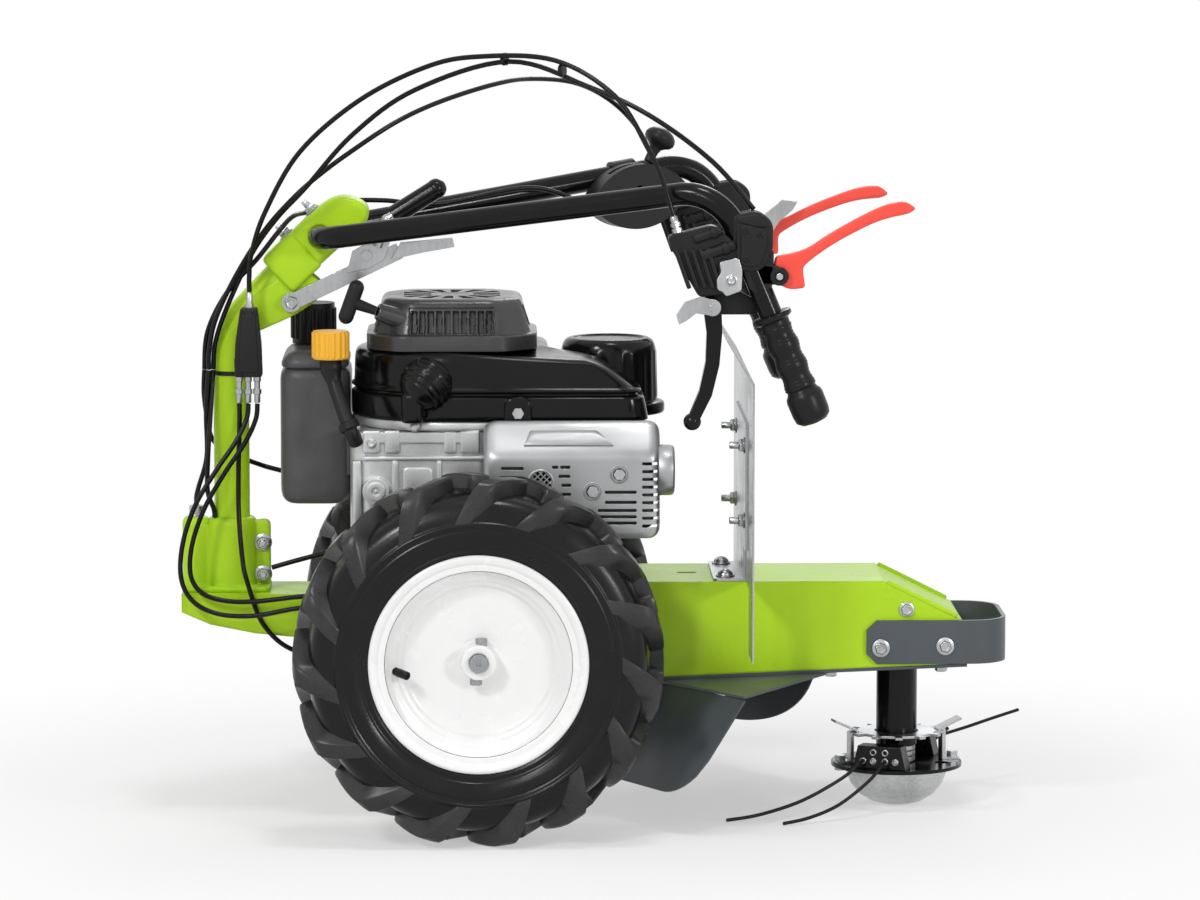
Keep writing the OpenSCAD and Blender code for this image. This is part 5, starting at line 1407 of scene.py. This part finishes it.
@dataclass
class Steering(Assembly):
    """Swivelling column with its head block and height lever."""

    pivot: Pair = (-176.0, 647.0)
    lever: Pair = (-208.0, 573.0)
    tilt: float = math.radians(43.0)
    ear: Outline = (
        (-268, 530, 10), (-269, 560, 14), (-240, 590, 20), (-196, 612, 14), (-172, 592, 10), (-176, 578, 8),
        (-200, 560, 20))
    head_lower: Outline = ((-66, -25.5, 7), (-20, -25.5, 5), (-20, 25.5, 5), (-66, 25.5, 7))
    head_upper: Outline = (
        (-26, -24, 4), (38, -25, 12), (52, -24, 8), (62, -14, 10), (58, 4, 16), (44, 20, 18), (20, 25, 14),
        (-26, 25, 4))

    def _head(self, a: float, b: float) -> Pair:
        """Turn head block coordinates into X and Z."""
        c, n = math.cos(self.tilt), math.sin(self.tilt)
        return self.pivot[0] + a * c - b * n, self.pivot[1] + a * n + b * c

    def build(self) -> None:
        """Make the column, its bolts, the cable tie and the cable splitter."""
        self.column()
        self.bolts()
        self.splitter()

    def column(self) -> None:
        """Make the bent tube with its ears and head block."""
        shape = Shape()
        bend = [(COLUMN_X * (1 - t) ** 2 + 2 * COLUMN_X * t * (1 - t) - 260 * t * t,
                 515.3 * (1 - t) ** 2 + 1080 * t * (1 - t) + 557.9 * t * t)
                for t in (i / 8 for i in range(9))]
        route = [Vector(at(x, 0, z)) for x, z in [(COLUMN_X, 254.4), (COLUMN_X, 400), *bend, (-205, 616)]]
        shape.ring_skin(tube_rings(route, [0.02] * len(route), 48))
        for low in (-21, 16):
            shape.slab(self.ear, low, low + 5, 1.6)
        for corners, half, edge in ((self.head_lower, 28, 5.0), (self.head_upper, 25.6, 8.0)):
            shape.slab([(*self._head(a, b), r) for a, b, r in corners], -half, half, edge, steps=5)
        made = shape.piece("column_pressed", GREEN, 50.0)
        cutter = Shape()
        for (x, z), r in ((self.pivot, 12.55), (self.lever, 4.05)):
            cutter.lathe(at(x, -70, z), FAR, ((0, r), (140, r)), 48)
        carve(made, cutter.piece("column_bores", GREEN), 40.0)
        join_frame(made, "steering_column", "green_paint", "column")

    def bolts(self) -> None:
        """Make the two bolts of the head block, the lever's pivot bolt and the cable tie."""
        shape = Shape()
        up = (-math.sin(self.tilt), 0.0, math.cos(self.tilt))
        for a in (-28, 12):
            x, z = self._head(a, 25.5)
            shape.bolt((x, 0, z), up, 7.5, 7, 9.4, 8)
        shape.lathe(at(self.lever[0], -30, self.lever[1]), FAR, ((0, 4), (60, 4)), 24)
        shape.bolt((self.lever[0], -30, self.lever[1]), NEAR, 7.5, 6)
        shape.bolt((self.lever[0], 24, self.lever[1]), FAR, 7.5, 6)
        join_frame(shape.piece("column_bolts_hex", ZINC), "steering_column", "zinc", "column_bolts")
        tie = Shape()
        tie.lathe(at(COLUMN_X, 0, 490), UP, ((0, 20.2), (0.4, 21.5), (4.6, 21.5), (5, 20.2)), 48)
        join_frame(tie.piece("column_cable_tie", MOULDED), "steering_column", "black_plastic")

    def splitter(self) -> None:
        """Make the splitter box with its clip and plated ferrules."""
        shape = Shape()
        shape.slab([(-271, 492, 3), (-240, 492, 3), (-241, 528, 6), (-245, 569, 3), (-264, 569, 3),
                    (-270, 528, 6)], -56, -32, 2.2)
        shape.slab([(-267, 498, 3), (-244, 498, 3), (-247, 562, 3), (-262, 562, 3)], -57.4, -55, 0.9)
        shape.slab(rect(-272, 500, -262, 511, 1), -33, -17, 0.8)
        for x, z in ((-264.5, 496), (-246.5, 496), (-261, 564), (-248, 564)):
            shape.lathe(at(x, -55.4, z), NEAR, ((0, 2.6), (1.6, 2.6), (2, 2.2), (1.2, 1.4)), 16)
        join_frame(shape.piece("splitter_box", MOULDED), "steering_column", "black_plastic", "cable_splitter")
        metal = Shape()
        for x in (-266, -256, -246):
            metal.lathe(at(x, -44, 492.6), DOWN,
                        ((0, 4.2), (6, 4.2), (6.4, 3.2), (14, 3.2), (14.4, 4.6), (20, 4.6),
                         (20.4, 3.4), (29, 3.4), (30, 2.8)), 24)
        metal.lathe(at(-254, -44, 568.4), UP, ((0, 4.6), (5, 4.6), (5.6, 3.7), (16, 3.7), (17.4, 2.8)), 24)
        join_frame(metal.piece("splitter_ferrules", ZINC), "steering_column", "zinc")

    def dress(self) -> None:
        """Finish the height lever."""
        paint_nodes(ZINC, ("height_lever",))
        paint_nodes(GLOSS, ("height_grip",))


@dataclass
class Handles(Assembly):
    """Handlebar with grips and hand levers."""

    knee: Pair = (260.0, 714.0)
    lower: Pair = (360.5, 470.0)
    start: float = 0.146
    adjuster: Point = (-4.8, 0, 18.4)
    throttle_at: Point = (167.7, 212.3, 699.8)
    throttle_along: Point = (0.91656, 0.37419, 0.14085)
    throttle_across: Point = (-0.37797, 0.92582, 0.0)
    support: Outline = ((244, 606, 4), (270, 610, 6), (304, 592, 6), (300, 578, 5), (262, 578, 6),
                        (246, 580, 5))
    latch_plate: Outline = (
        (257, 607, 3), (263, 605, 2), (266, 600, 3), (283, 606, 3), (284, 628, 4), (280, 642, 4),
        (259, 637, 3), (261, 626, 3), (256, 618, 3))
    perch_top: Outline = ((284, 650, 6), (254, 677, 8), (226, 670, 6), (204, 664, 4), (207, 652, 4))
    cheek: Outline = ((277, 628, 7), (305, 626, 10), (317, 650, 6), (317, 680, 8), (300, 692, 8),
                      (277, 688, 8))
    strap: Outline = ((282, 634, 4), (318, 650, 4), (318, 612, 6), (306, 600, 6), (292, 606, 6))
    red_lever: Outline = (
        (-6, 7, 4), (-4, 21, 5), (27.5, 26.7, 16), (49.6, 42.2, 14), (76.4, 57.8, 14), (112, 76, 20),
        (134.4, 80.8, 8), (147.6, 72.4, 4), (139.8, 66.8, 5), (107.7, 60, 18), (72, 42.2, 18),
        (49.8, 28.8, 12), (32, 15.4, 8), (25.2, 8.8, 6), (28.4, -13, 4), (12, -15, 6), (-6, -7, 5))

    def build(self) -> None:
        """Make the grips, the control boxes and the levers."""
        self.grips()
        self.controls()
        self.hardware()
        self.levers()
        self.throttle()

    def grips(self) -> None:
        """Make the two ribbed rubber grips."""
        shape = Shape()
        for side in SIDES:
            knee, end = (Vector(at(x, side * GRIP_Y, z)) for x, z in (self.knee, self.lower))
            along = (end - knee).normalized()
            profile = self._profile((end - knee).length)
            shape.ring_skin(tube_rings([knee + along * d for d, _ in profile], [r for _, r in profile], 40))
        join_frame(shape.piece("grips_ribbed", RUBBER, 55.0), "handles", "black_rubber", "grips")

    def _profile(self, full: float) -> List[Pair]:
        """Give the grip's outline along the bar.

        Args:
            full: Distance from the bend to the end of the bar.

        Returns:
            Distance along the bar and radius.
        """
        s = self.start
        base: List[Pair] = [(s, 0.0127), (s, 0.0205), (s + 0.001, 0.022), (s + 0.005, 0.022),
                            (s + 0.0062, 0.0205), (s + 0.0085, 0.0165), (s + 0.014, 0.0162)]
        for i in range(1, 50):
            d = s + 0.014 + 0.072 * i / 50
            swell = 0.0009 * math.sin(2 * math.pi * (d - s - 0.03) / 0.024)
            rib = 0.0003 * math.sin(2 * math.pi * (d - s) / 0.004)
            base.append((d, 0.0166 + swell + rib))
        base += [(s + 0.087, 0.0160), (s + 0.090, 0.0172), (s + 0.093, 0.0196), (s + 0.097, 0.0206),
                 (full - 0.004, 0.0204), (full + 0.003, 0.0192), (full + 0.0075, 0.014),
                 (full + 0.009, 0.006), (full + 0.0092, 0.0005)]
        return base

    def controls(self) -> None:
        """Make the ribbed perches and switch boxes on both sides."""
        shape = Shape()
        for side in SIDES:
            self._perch(shape, side * GRIP_Y)
            self._switch(shape, side * GRIP_Y, side)
        shape.slab(self.support, -241.6, -234, 1.6)
        join_frame(shape.piece("control_boxes_ribbed", MOULDED, 42.0), "handles", "black_plastic",
                   "control_boxes")

    def hardware(self) -> None:
        """Make the cable adjusters, the latch plate and the pivot pins."""
        shape = Shape()
        for side in SIDES:
            y = side * GRIP_Y
            shape.lathe(at(214.9, y - 5, 667), self.adjuster,
                        ((0, 5.4), (5, 5.4), (5.4, 3.6), (7, 3.6), (7.4, 5.2), (11, 5.2), (11.4, 4.0),
                         (18, 3.8), (19, 3.2)), 8)
            shape.lathe(at(LEVER_X, y - 17, LEVER_Z), FAR, ((0, 3.4), (0.8, 4), (33.2, 4), (34, 3.4)), 24)
        shape.lathe(at(LEVER_X, 228, LEVER_Z), FAR, ((0, 3.4), (0.8, 4), (6, 4)), 24)
        shape.slab(self.latch_plate, -269.4, -266.3, 0.9)
        shape.lathe(at(272, -269, 617), NEAR,
                    ((0, 6.4), (0.8, 6.4), (1.2, 5.2), (3.4, 4.6), (4.6, 3), (4.0, 1.4)), 28)
        join_frame(shape.piece("control_hardware_plated", ZINC), "handles", "zinc", "control_hardware")

    def _perch(self, shape: Shape, y: float) -> None:
        """Build one lever perch with its fins and barrels.

        Args:
            shape: Where the skin goes.
            y: Middle of the grip.
        """
        full = (*self.perch_top, (224, 622, 12), (238, 598, 6), (284, 606, 4))
        middle = (*self.perch_top, (224, 622, 10), (234, 608, 3), (284, 608, 3))
        shape.slab(full, y - 13, y - 8.6, 1.4)
        shape.slab(full, y + 8.6, y + 13, 1.4)
        shape.slab(middle, y - 9, y + 9, 0.6)
        for i in range(5):
            x = 211 + 8.4 * i
            fin = ((x, 647 + i, 1.6), (x + 4.4, 649 + i, 1.6), (x + 12, 628, 6), (x + 18.5, 609, 1.6),
                   (x + 14, 607.6, 1.6), (x + 7.6, 626, 6))
            shape.slab(fin, y - 17.4, y + 16, 1.5)
        shape.slab(rect(258, 606, 282, 640, 4), y - 16, y + 12, 1.6)
        for start, end, r in (((232, 661), (262, 671), 5.2), ((240, 643), (276, 655), 6.0)):
            a, b = Vector(at(start[0], y - 13, start[1])), Vector(at(end[0], y - 13, end[1]))
            d = (b - a).length * MM
            shape.lathe(a, b - a, ((0, r - 1), (1, r), (d * 0.62, r), (d * 0.64, r + 1.2), (d * 0.8, r + 1.2),
                                   (d * 0.82, r), (d - 1, r), (d, r - 1)), 24)
        shape.lathe(at(216, y - 5, 661), self.adjuster, ((0, 7.4), (6, 7.2), (7, 6.2)), 24)

    def _switch(self, shape: Shape, y: float, side: float) -> None:
        """Build one switch box with the cheeks of the red lever.

        Args:
            shape: Where the skin goes.
            y: Middle of the grip.
            side: -1 for the near side, 1 for the far one.
        """
        for low, high in ((y - 16, y - 7.7), (y + 7.7, y + 16)):
            shape.slab(self.cheek, low, high, 2.4)
        for low, high in ((y - 11.6, y - 7.7), (y + 7.7, y + 11.6)):
            shape.slab(self.strap, low, high, 1.2)
            shape.slab([(300, 612, 3), (324, 612, 2), (324, 632, 2), (300, 634, 3)], low, high, 1.2)
        for start, way in ((y - 7.5, -1.0), (y + 7.5, 1.0)):
            shape.lathe(at(LEVER_X, start, LEVER_Z), (0, way, 0),
                        ((0, 9.6), (0.4, 10), (5.4, 10), (6.4, 9), (6.5, 5.4), (5.6, 5.0)), 32)
        shape.slab([(277, 664, 3), (316, 664, 3), (316, 680, 8), (300, 691, 8), (277, 687, 8)],
                   y - 15, y + 15, 1.6)
        shape.slab([(274, 630, 3), (282.6, 630, 2), (282.6, 688, 3), (274, 686, 4)], y - 14, y + 14, 1.6)
        face = y + side * 15.6
        low, high = sorted((face, face + side * 3.2))
        shape.slab([(282, 633, 5), (302, 632, 6), (310, 652, 5), (309, 672, 4), (282, 679, 6)],
                   low, high, 1.2)
        shape.slab([(279, 680, 3), (300, 674.6, 2), (312, 675, 3), (300, 688, 4), (280, 685.6, 3)],
                   low, high, 1.0)
        for x, z in ((288, 640), (287, 671), (303, 666)):
            shape.lathe(at(x, face + side * 2.8, z), (0, side, 0),
                        ((0, 3.4), (1.6, 3.2), (2.2, 2.6), (2.2, 1.6), (1.0, 1.4)), 20)

    def levers(self) -> None:
        """Make the two red levers with their soft edges."""
        for name, side, fall in (("near", -1.0, 0.0), ("far", 1.0, math.radians(7))):
            shape = Shape()
            turned = []
            for x, z, r in self.red_lever:
                turned.append((LEVER_X + x * math.cos(fall) + z * math.sin(fall),
                               LEVER_Z - x * math.sin(fall) + z * math.cos(fall), r))
            y = side * GRIP_Y
            shape.slab(turned, y - 7, y + 7, 2.6)
            shape.lathe(at(LEVER_X, y - 7.2, LEVER_Z), FAR,
                        ((0, 8.6), (0.8, 9.4), (13.6, 9.4), (14.4, 8.6)), 32)
            join_frame(shape.piece(f"red_lever_{name}_soft", RED, 42.0), f"drive_lever_{name}", "red_plastic",
                       f"red_lever_{name}")

    def throttle(self) -> None:
        """Make the throttle lever with its mushroom knob."""
        u, v = Vector(self.throttle_along), Vector(self.throttle_across)
        w = u.cross(v)
        start = Vector(at(*self.throttle_at)) + (v * -30 + w * -14) / MM
        axis = u * 44 + w * 57
        shape = Shape()
        shape.lathe(start, axis, ((-3, 3.0), (-2, 3.5), (34, 3.5), (35, 5.4), (48, 6.0), (53, 7.4), (56, 11),
                                  (58.5, 15.5), (62, 18), (66, 18.4), (70, 16.8), (74, 12.6), (76.6, 7),
                                  (77.4, 1)), 36)
        shape.lathe(start + v * -0.0038, v, ((0, 8.4), (0.6, 9), (7, 9), (7.6, 8.4)), 28)
        join_frame(shape.piece("throttle_lever_knobbed", MOULDED, 45.0), "throttle", "black_plastic",
                   "throttle_lever")

    def dress(self) -> None:
        """Finish the handlebar's pieces."""
        paint_nodes(BLACK_PAINT, ("handlebar", "hand_lever"))
        paint_nodes(MOULDED, ("throttle_box",))
        paint_nodes(ZINC, ("pawl", "shift_lever"))


@dataclass
class Cables(Assembly):
    """Bowden cables from the levers to the column and on to the machine."""

    radius: float = 0.0028
    arches: Tuple[Tuple[Point, ...], ...] = (
        ((210.1, -255, 685.8), (200, -252, 720), (184, -246, 756), (148, -229, 813), (84, -196, 850),
         (0, -150, 852), (-58, -125, 839), (-131, -97, 801), (-196, -76, 744), (-235, -66, 677),
         (-251, -53, 630), (-254, -45, 604), (-254, -44, 586.4)),
        ((297, -250, 692.2), (253, -248, 743), (186, -236, 792), (120, -206, 822), (35, -157, 847),
         (-68, -108, 814), (-137, -84, 764), (-190, -64, 704), (-221, -52, 671), (-248, -38, 634),
         (-270, -32, 590), (-286, -27, 552), (-294, -22, 524), (-296, -20, 498)))
    crossing: Tuple[Point, ...] = (
        (210.1, 255, 685.8), (203, 251, 718), (182, 240, 757), (150, 215, 788), (110, 180, 808),
        (60, 120, 815), (20, 60, 812), (-40, 0, 796), (-90, -40, 775), (-142, -60, 742), (-177, -60, 716),
        (-204, -58, 692), (-236, -52, 656), (-268, -40, 606), (-292, -31, 556), (-300, -27, 520),
        (-301, -25, 498))
    throttle: Tuple[Point, ...] = (
        (124.2, 162.1, 668.9), (60, 136, 690), (-44, 104, 674), (-106, 74, 680), (-150, 56, 680),
        (-190, 36, 670), (-207, 0, 667), (-222, -26, 652), (-246, -34, 622), (-280, -31, 584),
        (-302, -21, 540), (-306, -18, 498))
    loops: Tuple[Tuple[Point, ...], ...] = (
        ((-246, -44, 461.6), (-248, -44, 444), (-260, -46, 418), (-283, -50, 384), (-305, -55, 346),
         (-319, -60, 306), (-321, -63, 272), (-309, -65, 252), (-284, -66, 243), (-250, -67, 242),
         (-205, -69, 247), (-165.4, -70, 250)),
        ((-256, -44, 461.6), (-258, -46, 445), (-270, -52, 420), (-292, -58, 388), (-315, -64, 350),
         (-329, -70, 308), (-331, -74, 270), (-318, -77, 244), (-290, -79, 230), (-250, -81, 228),
         (-205, -83, 236), (-165.4, -84, 240)),
        ((-266, -44, 461.6), (-266, -42, 446), (-267, -35, 420), (-268, -34, 390), (-268, -38, 340),
         (-264, -50, 290), (-258, -57, 262), (-240, -58, 214), (-204, -54, 184), (-146.4, -46, 180)))
    posts: Tuple[Tuple[Point, ...], ...] = (
        ((-301, -25, 497), (-304, -26, 450), (-304, -22, 400), (-314, -8, 364), (-317, 0, 352),
         (-317, 0, 342.6)),
        ((-296, -20, 497), (-299, -28, 450), (-302, -34, 400), (-303, -28, 362), (-297, -15, 340),
         (-296, -14, 330.3)))
    hose: Tuple[Point, ...] = ((-306, -18, 497), (-307, -13, 470), (-304, 0, 440), (-298, 22, 412),
                               (-272, 34, 394), (-244, 26, 384), (-222.5, 18, 379))
    tray: Tuple[Point, ...] = ((-232.9, 0, 271), (-205, 0, 279), (-171, 0, 288), (-143.3, 0, 297))

    def build(self) -> None:
        """Make the cables as fixed pieces; only the one over the tray is tied to a body, the chassis."""
        arch = self._bundle("cables_above_tie", self.arches, ((30, -155, 849.5), (92, -196, 839)))
        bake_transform(arch)
        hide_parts("upper_cables")
        far = self._bundle("cable_far_lever", (self.crossing,))
        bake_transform(far)
        feed = self._bundle("cable_throttle", (self.throttle,))
        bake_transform(feed)
        low = self._bundle("cables_below_tie", self.loops)
        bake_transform(low)
        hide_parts("lower_cables")
        post = self._bundle("cables_to_base", self.posts)
        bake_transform(post)
        hose = self._bundle("cable_to_tank", (self.hose,))
        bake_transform(hose)
        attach(self._bundle("cable_over_tray", (self.tray,)), "chassis")

    def _bundle(self, name: str, routes: Sequence[Sequence[Point]],
                ties: Sequence[Point] = ()) -> bpy.types.Object:
        """Build some cables as one piece.

        Args:
            name: Piece name.
            routes: One route per cable.
            ties: Where a cable tie holds them.

        Returns:
            The piece.
        """
        shape = Shape()
        for route in routes:
            self._cable(shape, route)
        for place in ties:
            shape.lathe(at(*place), (1.0, -0.5, 0.1), ((-2.4, 5), (-2.2, 7), (2.2, 7), (2.4, 5)), 20)
        made = shape.piece(name, SHEATH)
        return made

    def _cable(self, shape: Shape, route: Sequence[Point]) -> None:
        """Build one cable along its route."""
        points = smooth_route([at(*p) for p in route], 8)
        shape.ring_skin(tube_rings(points, [self.radius] * len(points), 12))


def main() -> None:
    """Build the studio and every sub-assembly."""
    logging.basicConfig(level=logging.INFO, format="%(name)s %(message)s")
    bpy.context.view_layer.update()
    studio = Studio()
    studio.camera()
    studio.light()
    studio.floor()
    groups = (Cutter(), Chassis(), Cables(), Wheels(), Engine(), Steering(), Handles())
    for group in groups:
        group.build()
    for group in groups:
        group.dress()


if __name__ == "__main__":
    main()
